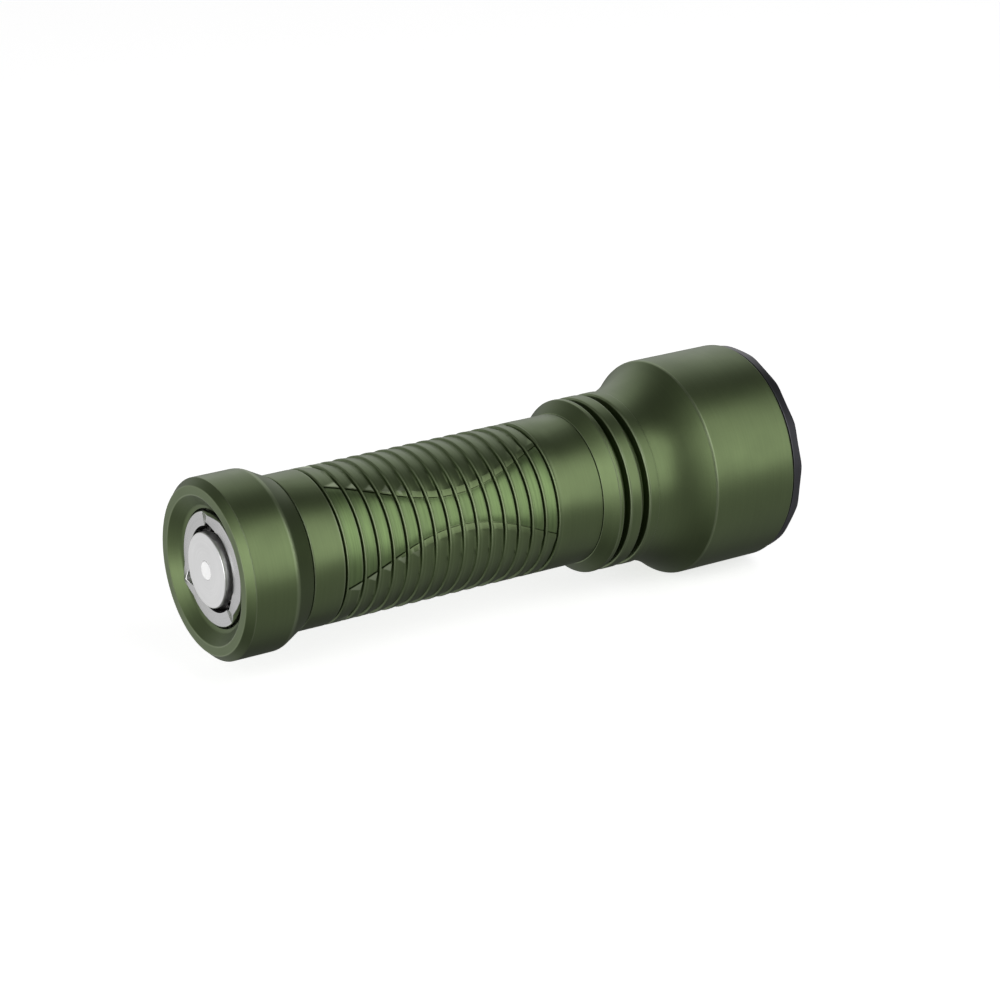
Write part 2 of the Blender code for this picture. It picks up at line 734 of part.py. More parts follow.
def make_led_wires(axis, driver_front, board_end, finish):
    _, wires = board_places()
    colours = {"led_wire_positive": "wire_red", "led_wire_negative": "black_plastic"}
    for name, angle in wires.items():
        x, y = around(WIRE_CIRCLE, angle)
        curve = bpy.data.curves.new(name, "CURVE")
        curve.dimensions = "3D"
        curve.bevel_depth = WIRE_RADIUS
        curve.bevel_resolution = 2
        curve.use_fill_caps = True
        spline = curve.splines.new("POLY")
        spline.points.add(1)
        spline.points[0].co = (x, y, driver_front + GAP, 1)
        spline.points[1].co = (x, y, board_end + 2 * GAP, 1)
        place(bpy.data.objects.new(name, curve), axis, finish[colours[name]])


def make_led(axis, board_end, cutters, finish):
    start = board_end + FINE_GAP
    end = start + LED_THICKNESS
    led = block("led_emitter", LED_WIDTH, start, end, axis, finish["led_phosphor"])
    bm = bmesh.new()
    size = Matrix.Diagonal((DIE_WIDTH, DIE_WIDTH, 2 * DIE_RISE, 1))
    bmesh.ops.create_cube(bm, size=1, matrix=Matrix.Translation((0, 0, end)) @ size)
    combine(led, cutter("led_die", bm, axis, cutters), "UNION")
    profile = ring(start, start + CENTERING_THICKNESS, CENTERING_INNER_RADIUS, CENTERING_RADIUS)
    turned("led_centering_ring", profile, axis, finish["white_card"])
    return end


def reflector_radius(z, focus_z):
    """The radius of the parabola whose focus is on the LED and whose mouth is REFLECTOR_MOUTH_RADIUS."""
    depth = REFLECTOR_FRONT - focus_z
    focal_length = (sqrt(depth**2 + REFLECTOR_MOUTH_RADIUS**2) - depth) / 2
    return sqrt(4 * focal_length * (z - focus_z + focal_length))


def make_reflector(axis, focus_z, finish):
    span = REFLECTOR_FRONT - REFLECTOR_REAR
    stations = [REFLECTOR_REAR + span * i / REFLECTOR_STEPS for i in range(REFLECTOR_STEPS + 1)]
    inside = [(z, reflector_radius(z, focus_z)) for z in stations]
    flange_start = REFLECTOR_FRONT - FINE_GAP
    flange_end = flange_start + REFLECTOR_FLANGE_THICKNESS
    outside = [(z, r + REFLECTOR_WALL) for z, r in inside[:-1]]
    outside.append((flange_start, REFLECTOR_MOUTH_RADIUS + REFLECTOR_WALL))
    profile = inside + [
        (flange_end, REFLECTOR_MOUTH_RADIUS),
        (flange_end, REFLECTOR_FLANGE_RADIUS),
        (flange_start, REFLECTOR_FLANGE_RADIUS),
    ]
    turned("reflector", profile + outside[::-1], axis, finish["mirror_reflector"], INNER_SIDES)


def make_lens(axis, finish):
    end = LENS_START + LENS_THICKNESS
    lens = disc(LENS_START, end, LENS_RADIUS, LENS_EDGE)
    turned("lens_glass", lens, axis, finish["coated_glass"], OUTER_SIDES)
    center = (end + BEZEL_FLANGE_START) / 2
    profile = round_ring(center, LENS_SEAL_RADIUS, LENS_SEAL_SECTION)
    turned("lens_seal", profile, axis, finish["black_rubber"], TUBE_SIDES)


def scallop_cutters(axis, cutters):
    """Cylinders lying along the radii, whose lower edges dip into the bezel's front face."""
    bm = bmesh.new()
    height = LENGTH + SCALLOP_RADIUS - SCALLOP_DEPTH
    for i in range(SCALLOP_COUNT):
        angle = 2 * pi * i / SCALLOP_COUNT
        spin = Matrix.Rotation(angle, 4, "Z")
        out = Matrix.Translation((BEZEL_RADIUS, 0, height)) @ Matrix.Rotation(radians(90), 4, "Y")
        bmesh.ops.create_cone(
            bm,
            cap_ends=True,
            segments=SCALLOP_SIDES,
            radius1=SCALLOP_RADIUS,
            radius2=SCALLOP_RADIUS,
            depth=2 * (BEZEL_RADIUS - BEZEL_LIP_RADIUS) + 2 * GAP,
            matrix=spin @ out,
        )
    return cutter("bezel_scallops", bm, axis, cutters)


def make_bezel(axis, cutters, finish):
    profile = [
        (LENGTH, BEZEL_MOUTH_RADIUS),
        (LENGTH, BEZEL_FRONT_RADIUS),
        (BEZEL_SHOULDER, BEZEL_SHOULDER_RADIUS),
        (BEZEL_FLANGE_START, BEZEL_RADIUS),
        (BEZEL_FLANGE_START, BEZEL_SKIRT_RADIUS),
        (BEZEL_SKIRT_START, BEZEL_SKIRT_RADIUS),
        (BEZEL_SKIRT_START, BEZEL_SKIRT_INNER_RADIUS),
        (BEZEL_FLANGE_START, BEZEL_SKIRT_INNER_RADIUS),
        (BEZEL_FLANGE_START, BEZEL_LIP_RADIUS),
        (BEZEL_LIP_START, BEZEL_LIP_RADIUS),
    ]
    bezel = turned("bezel_ring", profile, axis, finish["dark_anodised"], OUTER_SIDES)
    combine(bezel, scallop_cutters(axis, cutters), "DIFFERENCE")


def make_tail(cap_axis, thread_axis, button_axis, cutters, finish):
    make_tail_cap(cap_axis, finish)
    flange_end = make_contact_crown(cap_axis, cutters, finish)
    magnet_start, board_start = make_tail_stack(cap_axis, thread_axis, flange_end, finish)
    make_switch(cap_axis, button_axis, board_start, cutters, finish)
    disc_end, stem_flange_end = make_button(button_axis, finish)
    make_button_seal_and_spring(
        cap_axis, button_axis, disc_end, stem_flange_end, magnet_start, finish
    )


def make_head(axis, cutters, finish):
    driver_front = make_driver(axis, finish)
    make_head_housing(axis, cutters, finish)
    board_end = make_led_board(axis, cutters, finish)
    make_board_screws(axis, board_end, cutters, finish)
    make_led_wires(axis, driver_front, board_end, finish)
    focus_z = make_led(axis, board_end, cutters, finish)
    make_reflector(axis, focus_z, finish)
    make_lens(axis, finish)
    make_bezel(axis, cutters, finish)


def main():
    clear_scene()
    parts = make_collection("tactical_flashlight")
    cutters = make_collection("cutters")
    finish = make_materials()

    torch_axis = make_axis("torch_axis", parts)
    torch_axis.location = (-LENGTH / 2, 0, AXIS_HEIGHT)
    torch_axis.rotation_euler = (0, radians(90), 0)
    cell_axis = make_axis("cell_axis", parts, torch_axis)
    thread_axis = make_axis("tail_thread_axis", parts, cell_axis)
    cap_axis = make_axis("tail_cap_axis", parts, thread_axis)
    button_axis = make_axis("button_axis", parts, cap_axis)

    make_tail(cap_axis, thread_axis, button_axis, cutters, finish)
    make_cell(cell_axis, finish)
    make_battery_tube(torch_axis, finish)
    make_head(torch_axis, cutters, finish)


main()
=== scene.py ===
"""The looks of a compact tactical flashlight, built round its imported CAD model.

Lengths along the torch are stations, in metres from the tail rim towards the bezel. An angle round the
torch is 0 on the side that faces the camera (-Y) and 90 degrees on top. A profile is a list of
(station, radius) points, each with the width of its rounded edge as an optional third number.
"""

import json
from math import cos, pi, radians, sin, sqrt, tau

import bpy
import numpy as np
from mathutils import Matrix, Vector

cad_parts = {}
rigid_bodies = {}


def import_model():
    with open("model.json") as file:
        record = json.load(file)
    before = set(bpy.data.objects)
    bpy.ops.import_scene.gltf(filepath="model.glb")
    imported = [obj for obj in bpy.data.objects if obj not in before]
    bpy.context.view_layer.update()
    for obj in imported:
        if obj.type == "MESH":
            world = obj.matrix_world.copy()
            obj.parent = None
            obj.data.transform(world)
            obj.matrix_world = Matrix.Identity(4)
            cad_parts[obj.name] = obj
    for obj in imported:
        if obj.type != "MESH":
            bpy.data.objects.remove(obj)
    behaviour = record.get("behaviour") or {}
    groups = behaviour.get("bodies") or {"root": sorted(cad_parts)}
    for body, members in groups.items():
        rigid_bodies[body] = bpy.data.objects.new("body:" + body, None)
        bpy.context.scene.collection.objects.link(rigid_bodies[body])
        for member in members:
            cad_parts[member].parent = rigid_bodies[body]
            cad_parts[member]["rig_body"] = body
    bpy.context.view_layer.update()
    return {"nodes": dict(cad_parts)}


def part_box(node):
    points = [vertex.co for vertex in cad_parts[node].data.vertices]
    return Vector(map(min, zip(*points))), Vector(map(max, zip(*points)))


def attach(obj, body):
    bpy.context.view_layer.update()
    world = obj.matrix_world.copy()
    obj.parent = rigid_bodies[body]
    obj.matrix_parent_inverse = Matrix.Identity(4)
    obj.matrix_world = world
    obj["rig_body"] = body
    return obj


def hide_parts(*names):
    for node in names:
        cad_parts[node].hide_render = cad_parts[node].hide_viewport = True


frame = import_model()

# The torch in the frame
CAD_SIDES = 32
TAIL_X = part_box("tail_cap")[0].x
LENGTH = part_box("bezel_ring")[1].x - TAIL_X
head_low, head_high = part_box("head_housing")
AXIS_Z = (head_low.z + head_high.z) / 2
HEAD_RADIUS = (head_high.z - head_low.z) / 2 / cos(pi / CAD_SIDES)

# Turned work: a rounding takes up to ROUND_SHARE of a straight, and a supporting row lies just past it
SIDES = 224
SMALL_SIDES = 96
EDGE = 0.00010
FINE_EDGE = 0.00015
SOFT_EDGE = 0.0003
ROUND_STEPS = 4
ROUND_SHARE = 0.4
SUPPORT = 1.2
CREASE = radians(38)
GAP = 0.0003
FINE_GAP = 0.00012

# Tail cap
CAP_LENGTH = 0.0119
CAP_RADIUS = 0.0140
CAP_TAPER_START = 0.0083
CAP_TAPER_EDGE = 0.0005
CAP_RIM_RADIUS = 0.0129
CAP_RIM_CHAMFER = 0.0012
CAP_MOUTH_RADIUS = 0.0121
RECESS_LIP_RADIUS = 0.0115
RECESS_FLOOR_START = 0.0016
RECESS_FLOOR_RADIUS = 0.0097
RECESS_DEPTH = 0.0018
CROWN_BORE_RADIUS = 0.00915
CAP_SHELF = 0.0033
THREAD_BORE_RADIUS = 0.0112
THREAD_PITCH = 0.00075
THREAD_DEPTH = 0.00028
THREAD_STEPS = 10
THREAD_FLANK = 1.4
THREAD_RUNOUT = 0.3
CAP_THREAD = (0.0066, 0.0113)
SPIGOT_THREAD = (0.0088, 0.01055)

# Charging contact crown
CROWN_RADIUS = 0.00882
CROWN_INNER_RADIUS = 0.0066
CROWN_FACE = 0.00134
CROWN_EDGE = 0.00025
CROWN_FLANGE_RADIUS = 0.0106
CROWN_FLANGE_THICKNESS = 0.0007
LUG_ANGLES = (88.0, 208.0, 328.0)
LUG_HALF_ANGLE = 17.0
LUG_RISE = 0.00080
LUG_OUTER_SHARE = 0.75
LUG_NOTCH = 0.0011
LUG_NOTCH_HALF_ANGLE = 15.0
LUG_CREASE = radians(24)

# Button and switch
BUTTON_RADIUS = 0.00577
BUTTON_FACE = 0.00046
BUTTON_THICKNESS = 0.00144
BUTTON_EDGE = 0.00024
POCKET_EDGE = 0.00004
CENTER_CONTACT_RADIUS = 0.00145
CENTER_CONTACT_HEIGHT = 0.00075
CENTER_CONTACT_PROUD = 0.00006
STEM_RADIUS = 0.0020
STEM_FLANGE_RADIUS = 0.0045
STEM_FLANGE_THICKNESS = 0.0004
STEM_END = 0.0045
INSULATOR_THICKNESS = 0.0004
MAGNET_INNER_RADIUS = 0.0042
MAGNET_THICKNESS = 0.0012
TAIL_BOARD_THICKNESS = 0.0008
CLAMP_RING_THICKNESS = 0.0006
CLAMP_RING_BORE = 0.0078
TAIL_COIL_RADIUS = 0.0056
TAIL_COIL_TIP_RADIUS = 0.0034
TAIL_WIRE_RADIUS = 0.0003
TAIL_TURNS = 4
COIL_STEPS = 36
COIL_END_TURNS = 1.0
WIRE_ROUNDING = 4

# Battery tube
TUBE_RADIUS = 0.01205
TUBE_START = 0.0085
TUBE_SHOULDER = CAP_LENGTH + 0.0002
TUBE_SHOULDER_EDGE = 0.00025
TUBE_END = 0.0640
TUBE_NOSE = 0.0689
TUBE_BORE_RADIUS = 0.0097
SPIGOT_RADIUS = 0.0109
THREAD_ROOT_RADIUS = SPIGOT_RADIUS - THREAD_DEPTH
SEAL_GROOVE_WIDTH = 0.0009
SEAL_GROOVE_RADIUS = 0.01025
SEAL_RING_RADIUS = 0.0107
SEAL_RING_SECTION = 0.00035
SEAL_POINTS = 20
TAIL_SEAL_CENTER = 0.0111
HEAD_SEAL_CENTER = 0.0651
FIRST_GROOVE = 0.01757
SECOND_GROOVE = 0.02059
GROOVE_PITCH = 0.0025
GROOVE_COUNT = 16

# The grip's leaf-shaped flats, in degrees across and metres deep
LEAF_COUNT = 3
LEAF_CENTER = 26.0
LEAF_HALF_ANGLE = 10.5
LEAF_SWELL = 19.75
LEAF_WAIST = 0.038
LEAF_WAVE = 0.060
LEAF_COLUMNS = 26
BETWEEN_COLUMNS = 20
LEAF_SHOULDER = 6.5
LEAF_SAG = 0.00011
LINE_EDGE = 0.25
LINE_WIDTH = 1.0
LINE_FAR_EDGE = 1.2
LINE_DEPTH = 0.00042
BAND_FOOT_DEPTH = 0.00017
BAND_RIM_DEPTH = 0.00003
NARROW_BAND = 2.2
WIDE_BAND = 5.6
BAND_ENDS = (0.025, 0.031, 0.050, 0.061)
WALL_WIDTH = 7.0
WALL_COLUMNS = 12
WALL_SLOPE = 0.000038
# A painted highlight in the pale worn colour on the walls below a leaf's band: where it fades out, and its
# strength
WALL_HIGHLIGHT_FADE = (0.027, 0.033)
WALL_HIGHLIGHT = 3.0
GROOVE_FADES = (3.0, 27.0)

# One grip groove and the ridge after it: distance from the groove's middle, depth on a leaf, depth
# between the leaves, whether it runs through a leaf's border, and wear. Lengths in millimetres.
RIDGE = (
    (-0.25, 0.030, 0.290, False, 1.0),
    (-0.22, 0.600, 0.300, True, 0.0),
    (0.17, 0.600, 0.290, True, 0.0),
    (0.20, 0.190, 0.190, True, 0.0),
    (0.34, 0.030, 0.030, True, 1.0),
    (0.39, 0.000, 0.000, True, 0.5),
    (0.47, 0.000, 0.000, True, 0.0),
    (0.57, 0.035, 0.020, False, 0.0),
    (0.70, 0.035, 0.025, False, 0.0),
    (0.80, 0.000, 0.030, False, 0.3),
    (1.10, 0.000, 0.060, False, 0.0),
    (1.40, 0.000, 0.105, False, 0.0),
    (1.65, 0.000, 0.155, False, 0.0),
    (1.90, 0.000, 0.210, False, 0.0),
    (2.15, 0.000, 0.270, False, 0.0),
)
LIP_END = 0.80

# Rechargeable cell
CELL_START = 0.0122
CELL_END = 0.0616
CELL_RADIUS = 0.0090
CELL_WALL = 0.0003
CELL_BASE = 0.0004
SLEEVE_RADIUS = 0.00935
SLEEVE_WALL = 0.0002
CELL_CAP_RADIUS = 0.0035
CELL_CAP_START = 0.0611
CELL_CAP_END = 0.0630
CELL_INSULATOR_RADIUS = 0.0089

# Head
HEAD_START = 0.0641
HEAD_END = 0.0975
HEAD_EDGE = 0.00028
FIN_RADIUS = 0.0140
FIN_VALLEY_RADIUS = 0.0124
COLLAR_START = 0.0660
FIN_VALLEYS = ((0.0668, 0.0680), (0.0703, 0.0716))
FIN_EDGE = 0.00040
FIN_ROOT_EDGE = 0.00018
FIN_STEP = 0.00025
FLARE_START = 0.0737
FLARE_END = 0.08225
FLARE_HOLLOW = 0.00085
FLARE_STEPS = 14
SHELF_REAR = 0.0732
SHELF_FRONT = 0.0760
SHELF_RADIUS = 0.0112
CAVITY_RADIUS = 0.0152
CAVITY_START = 0.0835
LEDGE = 0.0936
BEZEL_BORE_RADIUS = 0.0163
SCREW_CIRCLE = 0.0072
SCREW_HOLE_RADIUS = 0.0009
WIRE_CIRCLE = 0.0080
WIRE_HOLE_RADIUS = 0.0008
DRILL_SIDES = 24

# Light engine
BOARD_THICKNESS = 0.0014
DIE_WIDTH = 0.0024
LED_THICKNESS = 0.0006
CENTERING_INNER_RADIUS = 0.0038
CENTERING_RADIUS = 0.0055
CENTERING_THICKNESS = 0.0009
REFLECTOR_REAR = 0.0790
REFLECTOR_FRONT = 0.0940
REFLECTOR_MOUTH_RADIUS = 0.0143
REFLECTOR_WALL = 0.0006
REFLECTOR_FLANGE_RADIUS = 0.0159
REFLECTOR_FLANGE_THICKNESS = 0.0005
REFLECTOR_STEPS = 40

# Lens and bezel
LENS_RADIUS = 0.0151
LENS_START = 0.0947
LENS_THICKNESS = 0.0018
LENS_SEAL_RADIUS = 0.0146
LENS_SEAL_SECTION = 0.0004
BEZEL_START = HEAD_END + GAP
BEZEL_RADIUS = 0.01725
BEZEL_SHOULDER = 0.0995
BEZEL_SHOULDER_RADIUS = 0.0170
BEZEL_FRONT_RADIUS = 0.0163
BEZEL_MOUTH_RADIUS = 0.0146
BEZEL_LIP_RADIUS = 0.0140
BEZEL_LIP_START = 0.0992
BEZEL_SKIRT_RADIUS = 0.0160
BEZEL_SKIRT_INNER_RADIUS = 0.0154
BEZEL_SKIRT_START = 0.0946
SCALLOP_COUNT = 15
SCALLOP_DEPTH = 0.00030
SCALLOP_BREADTH = 0.7
SCALLOP_PHASE = 90.0

# Edges of the blocks and boards
BLOCK_BEVEL = 0.00006
BLOCK_BEVEL_STEPS = 2
BLOCK_BEVEL_ANGLE = radians(50)

# Surface detail: lathe marks and how little they change round a piece, how far edges are rubbed and walls
# given a painted highlight, and noise scales per metre
MARK_PITCH = 0.00030
MARK_CHANGE = 0.03
MARK_DEPTH = 0.0000012
WEAR_AND_HIGHLIGHT_STRENGTH = 0.5
BLOTCH_SCALE = 160.0
GRAIN_SCALE = 9000.0
MOULD_BLOTCH_SCALE = 300.0
MOULD_GRAIN_SIZE = 0.00012
MOULD_GRAIN_DEPTH = 0.000004
TRACK_SCALE = 380.0
SPECK_SCALE = 700.0
TRACK_HEIGHT = 0.00002
ROLL_PITCH = 0.00014
ROLL_DEPTH = 0.00002
PHOSPHOR_DEPTH = 0.000006
SMEAR_SCALE = 120.0
PAPER_SCALE = 1500.0

# Soft light from the surroundings: its direction, the angles where it starts and stops fading in
# degrees, and its strength
BEHIND_LIGHT = ((0.38, 0.80, 0.46), 12, 41, 0.76)
REAR_LIGHT = ((-0.6, 0.75, -0.35), 15, 60, 0.62)
TAIL_LIGHT = ((-0.88, -0.30, 0.05), 20, 64, 0.44)
LOW_LIGHT = ((0.45, -0.66, -0.58), 10, 56, 0.29)
DIM_LIGHT = 0.10
BACKDROP_LIGHT = 0.92

# Panels: direction from the torch, width and height, and power
PANEL_DISTANCE = 0.70
KEY_PANEL = ((0.42, -0.78, 0.46), (0.62, 0.82), 2.65)
TAIL_PANEL = ((-0.85, -0.45, 0.25), (0.50, 0.60), 1.8)

# Camera and floor
CAMERA_AZIMUTH = radians(-33.6)
CAMERA_ELEVATION = radians(20.4)
CAMERA_DISTANCE = 0.484
CAMERA_TARGET = Vector((0.0027, 0, AXIS_Z + 0.0004))
CAMERA_LENS = 111.16
SENSOR_WIDTH = 36.0
FLOOR_SIZE = 8.0
FLOOR_GLOW = 0.70


# ---------------------------------------------------------------- materials


def add_node(tree, kind, inputs=None, **settings):
    """A shader node; inputs maps a socket's name or number to a value or to another node's socket."""
    node = tree.nodes.new(kind)
    for name, value in settings.items():
        setattr(node, name, value)
    for name, value in (inputs or {}).items():
        if isinstance(value, bpy.types.NodeSocket):
            tree.links.new(value, node.inputs[name])
        else:
            node.inputs[name].default_value = value
    return node


def new_material(name, **sockets):
    """A Principled material with these values on its sockets, and its tree and shader."""
    material = bpy.data.materials.new("look_" + name)
    material.use_nodes = True
    tree = material.node_tree
    shader = tree.nodes["Principled BSDF"]
    for socket, value in sockets.items():
        shader.inputs[socket.replace("_", " ")].default_value = value
    return material, tree, shader


def own_point(tree):
    """The piece's own coordinates, in metres."""
    return add_node(tree, "ShaderNodeTexCoord").outputs["Object"]


def noise(tree, vector, scale, detail=2.0):
    """Soft noise from 0 to 1."""
    inputs = {"Vector": vector, "Scale": scale, "Detail": detail}
    return add_node(tree, "ShaderNodeTexNoise", inputs).outputs["Fac"]


def remap(tree, value, low, high, new_low, new_high):
    """The value with its range from low to high stretched to the new one."""
    inputs = {0: value, 1: low, 2: high, 3: new_low, 4: new_high}
    return add_node(tree, "ShaderNodeMapRange", inputs).outputs["Result"]


def calc(tree, operation, first, second=0.0):
    node = add_node(tree, "ShaderNodeMath", {0: first, 1: second}, operation=operation)
    return node.outputs["Value"]


def mix_colours(tree, factor, first, second):
    node = add_node(tree, "ShaderNodeMix", data_type="RGBA")
    sockets = {"Factor_Float": factor, "A_Color": first, "B_Color": second}
    for socket in node.inputs:
        if socket.identifier in sockets:
            value = sockets[socket.identifier]
            if isinstance(value, bpy.types.NodeSocket):
                tree.links.new(value, socket)
            else:
                socket.default_value = value
    return node.outputs[2]


def turning_marks(tree, pitch):
    """Fine lathe marks: they run round the axis on a cylinder and round the centre on an end face."""
    split = add_node(tree, "ShaderNodeSeparateXYZ", {"Vector": own_point(tree)}).outputs
    height = calc(tree, "SUBTRACT", split["Z"], AXIS_Z)
    squares = calc(tree, "POWER", split["Y"], 2.0), calc(tree, "POWER", height, 2.0)
    radius = calc(tree, "SQRT", calc(tree, "ADD", *squares))
    along = calc(tree, "MULTIPLY", split["X"], 1 / pitch)
    outward = calc(tree, "MULTIPLY", radius, 1 / pitch)
    around = calc(tree, "MULTIPLY", calc(tree, "ADD", split["Y"], split["Z"]), MARK_CHANGE / pitch)
    vector = add_node(tree, "ShaderNodeCombineXYZ", {"X": along, "Y": outward, "Z": around})
    return noise(tree, vector.outputs["Vector"], 1.0, 1.0)


def bump(tree, shader, height, distance, strength=1.0):
    """Raises the surface by the height times the distance, in metres."""
    inputs = {"Height": height, "Distance": distance, "Strength": strength}
    node = add_node(tree, "ShaderNodeBump", inputs)
    tree.links.new(node.outputs["Normal"], shader.inputs["Normal"])


def opaque(colour):
    """The colour with full alpha."""
    return (*colour, 1.0)


def shade(colour, factor):
    """The colour made lighter or darker."""
    return opaque([min(1.0, c * factor) for c in colour])


def metal(name, colour, worn_and_highlit, roughness, depth=MARK_DEPTH, coat=0.0, bright=None):
    """Turned metal: lathe marks, soft blotches, uneven roughness, edges rubbed paler, and painted
    highlights in the same pale colour.

    Where a piece is milled after blasting it takes the bright colour.
    """
    material, tree, shader = new_material(
        name, Metallic=1.0, Coat_Weight=coat, Coat_Roughness=roughness
    )
    lines = turning_marks(tree, MARK_PITCH)
    blotches = noise(tree, own_point(tree), BLOTCH_SCALE, 3.0)
    grain = noise(tree, own_point(tree), GRAIN_SCALE, 1.0)
    streaks = remap(tree, lines, 0.3, 0.7, 0, 1)
    tone = mix_colours(tree, streaks, shade(colour, 0.97), shade(colour, 1.03))
    if bright:
        milled = add_node(tree, "ShaderNodeAttribute", attribute_name="milled").outputs["Fac"]
        cut = mix_colours(tree, streaks, shade(bright, 0.86), shade(bright, 1.14))
        tone = mix_colours(tree, milled, tone, cut)
    tone = mix_colours(tree, remap(tree, blotches, 0.3, 0.8, 0.0, 0.25), tone, shade(colour, 0.82))
    # This attribute carries edge wear and painted highlights; both mix in the pale colour
    wear_and_highlight_share = add_node(tree, "ShaderNodeAttribute", attribute_name="wear_and_highlight").outputs["Fac"]
    wear_and_highlight_share = calc(tree, "MULTIPLY", wear_and_highlight_share, remap(tree, blotches, 0.35, 0.7, 0.25, WEAR_AND_HIGHLIGHT_STRENGTH))
    tree.links.new(mix_colours(tree, wear_and_highlight_share, tone, opaque(worn_and_highlit)), shader.inputs["Base Color"])
    rough = remap(tree, blotches, 0.2, 0.8, roughness - 0.04, roughness + 0.05)
    tree.links.new(rough, shader.inputs["Roughness"])
    bump(tree, shader, calc(tree, "ADD", lines, calc(tree, "MULTIPLY", grain, 0.5)), depth)
    return material


def moulded(name, colour, roughness, grain_size=MOULD_GRAIN_SIZE, depth=MOULD_GRAIN_DEPTH, **sockets):
    """Moulded or painted stuff: a fine grain, soft tone changes and uneven gloss."""
    material, tree, shader = new_material(name, **sockets)
    grain = noise(tree, own_point(tree), 1 / grain_size, 2.0)
    blotches = noise(tree, own_point(tree), MOULD_BLOTCH_SCALE, 3.0)
    tone = mix_colours(tree, blotches, shade(colour, 0.86), shade(colour, 1.12))
    tree.links.new(tone, shader.inputs["Base Color"])
    rough = remap(tree, blotches, 0.25, 0.75, max(0.02, roughness - 0.06), roughness + 0.06)
    tree.links.new(rough, shader.inputs["Roughness"])
    bump(tree, shader, grain, depth)
    return material


def circuit_board(name, mask, copper):
    """Solder mask over faint copper tracks."""
    material, tree, shader = new_material(name, Coat_Weight=0.3)
    pattern = add_node(
        tree,
        "ShaderNodeTexBrick",
        {"Vector": own_point(tree), "Scale": TRACK_SCALE, "Mortar Size": 0.03},
    ).outputs["Fac"]
    specks = noise(tree, own_point(tree), SPECK_SCALE, 2.0)
    tone = mix_colours(tree, calc(tree, "MULTIPLY", pattern, 0.7), opaque(mask), opaque(copper))
    tone = mix_colours(tree, remap(tree, specks, 0.4, 0.7, 0, 0.3), tone, shade(mask, 0.6))
    tree.links.new(tone, shader.inputs["Base Color"])
    tree.links.new(remap(tree, specks, 0.3, 0.7, 0.38, 0.52), shader.inputs["Roughness"])
    bump(tree, shader, pattern, TRACK_HEIGHT, 0.5)
    return material


def wound_roll(name, colour):
    """The edge of a wound foil: rings at the foil's pitch."""
    material, tree, shader = new_material(name, Metallic=0.4)
    rings = turning_marks(tree, ROLL_PITCH)
    tone = mix_colours(tree, rings, shade(colour, 0.6), shade(colour, 1.4))
    tree.links.new(tone, shader.inputs["Base Color"])
    tree.links.new(remap(tree, rings, 0.3, 0.7, 0.45, 0.60), shader.inputs["Roughness"])
    bump(tree, shader, rings, ROLL_DEPTH)
    return material


def led_face(name, phosphor, ceramic):
    """White ceramic with a yellow phosphor square on its raised middle."""
    material, tree, shader = new_material(name)
    split = add_node(tree, "ShaderNodeSeparateXYZ", {"Vector": own_point(tree)}).outputs
    half = DIE_WIDTH / 2 + FINE_GAP
    sideways = calc(tree, "ABSOLUTE", split["Y"])
    height = calc(tree, "ABSOLUTE", calc(tree, "SUBTRACT", split["Z"], AXIS_Z))
    inside = calc(tree, "LESS_THAN", calc(tree, "MAXIMUM", sideways, height), half)
    grain = noise(tree, own_point(tree), GRAIN_SCALE, 2.0)
    yellow = mix_colours(tree, grain, shade(phosphor, 0.8), shade(phosphor, 1.15))
    tree.links.new(mix_colours(tree, inside, opaque(ceramic), yellow), shader.inputs["Base Color"])
    tree.links.new(remap(tree, grain, 0.3, 0.7, 0.4, 0.6), shader.inputs["Roughness"])
    bump(tree, shader, grain, PHOSPHOR_DEPTH)
    return material


def lens_coating(name):
    """Clear glass with a faint smear and a thin coating."""
    material, tree, shader = new_material(
        name, Transmission_Weight=1.0, IOR=1.5, Coat_Weight=0.3, Coat_Tint=(0.75, 0.8, 1.0, 1.0)
    )
    smear = noise(tree, own_point(tree), SMEAR_SCALE, 3.0)
    tree.links.new(remap(tree, smear, 0.4, 0.8, 0.0, 0.05), shader.inputs["Roughness"])
    return material


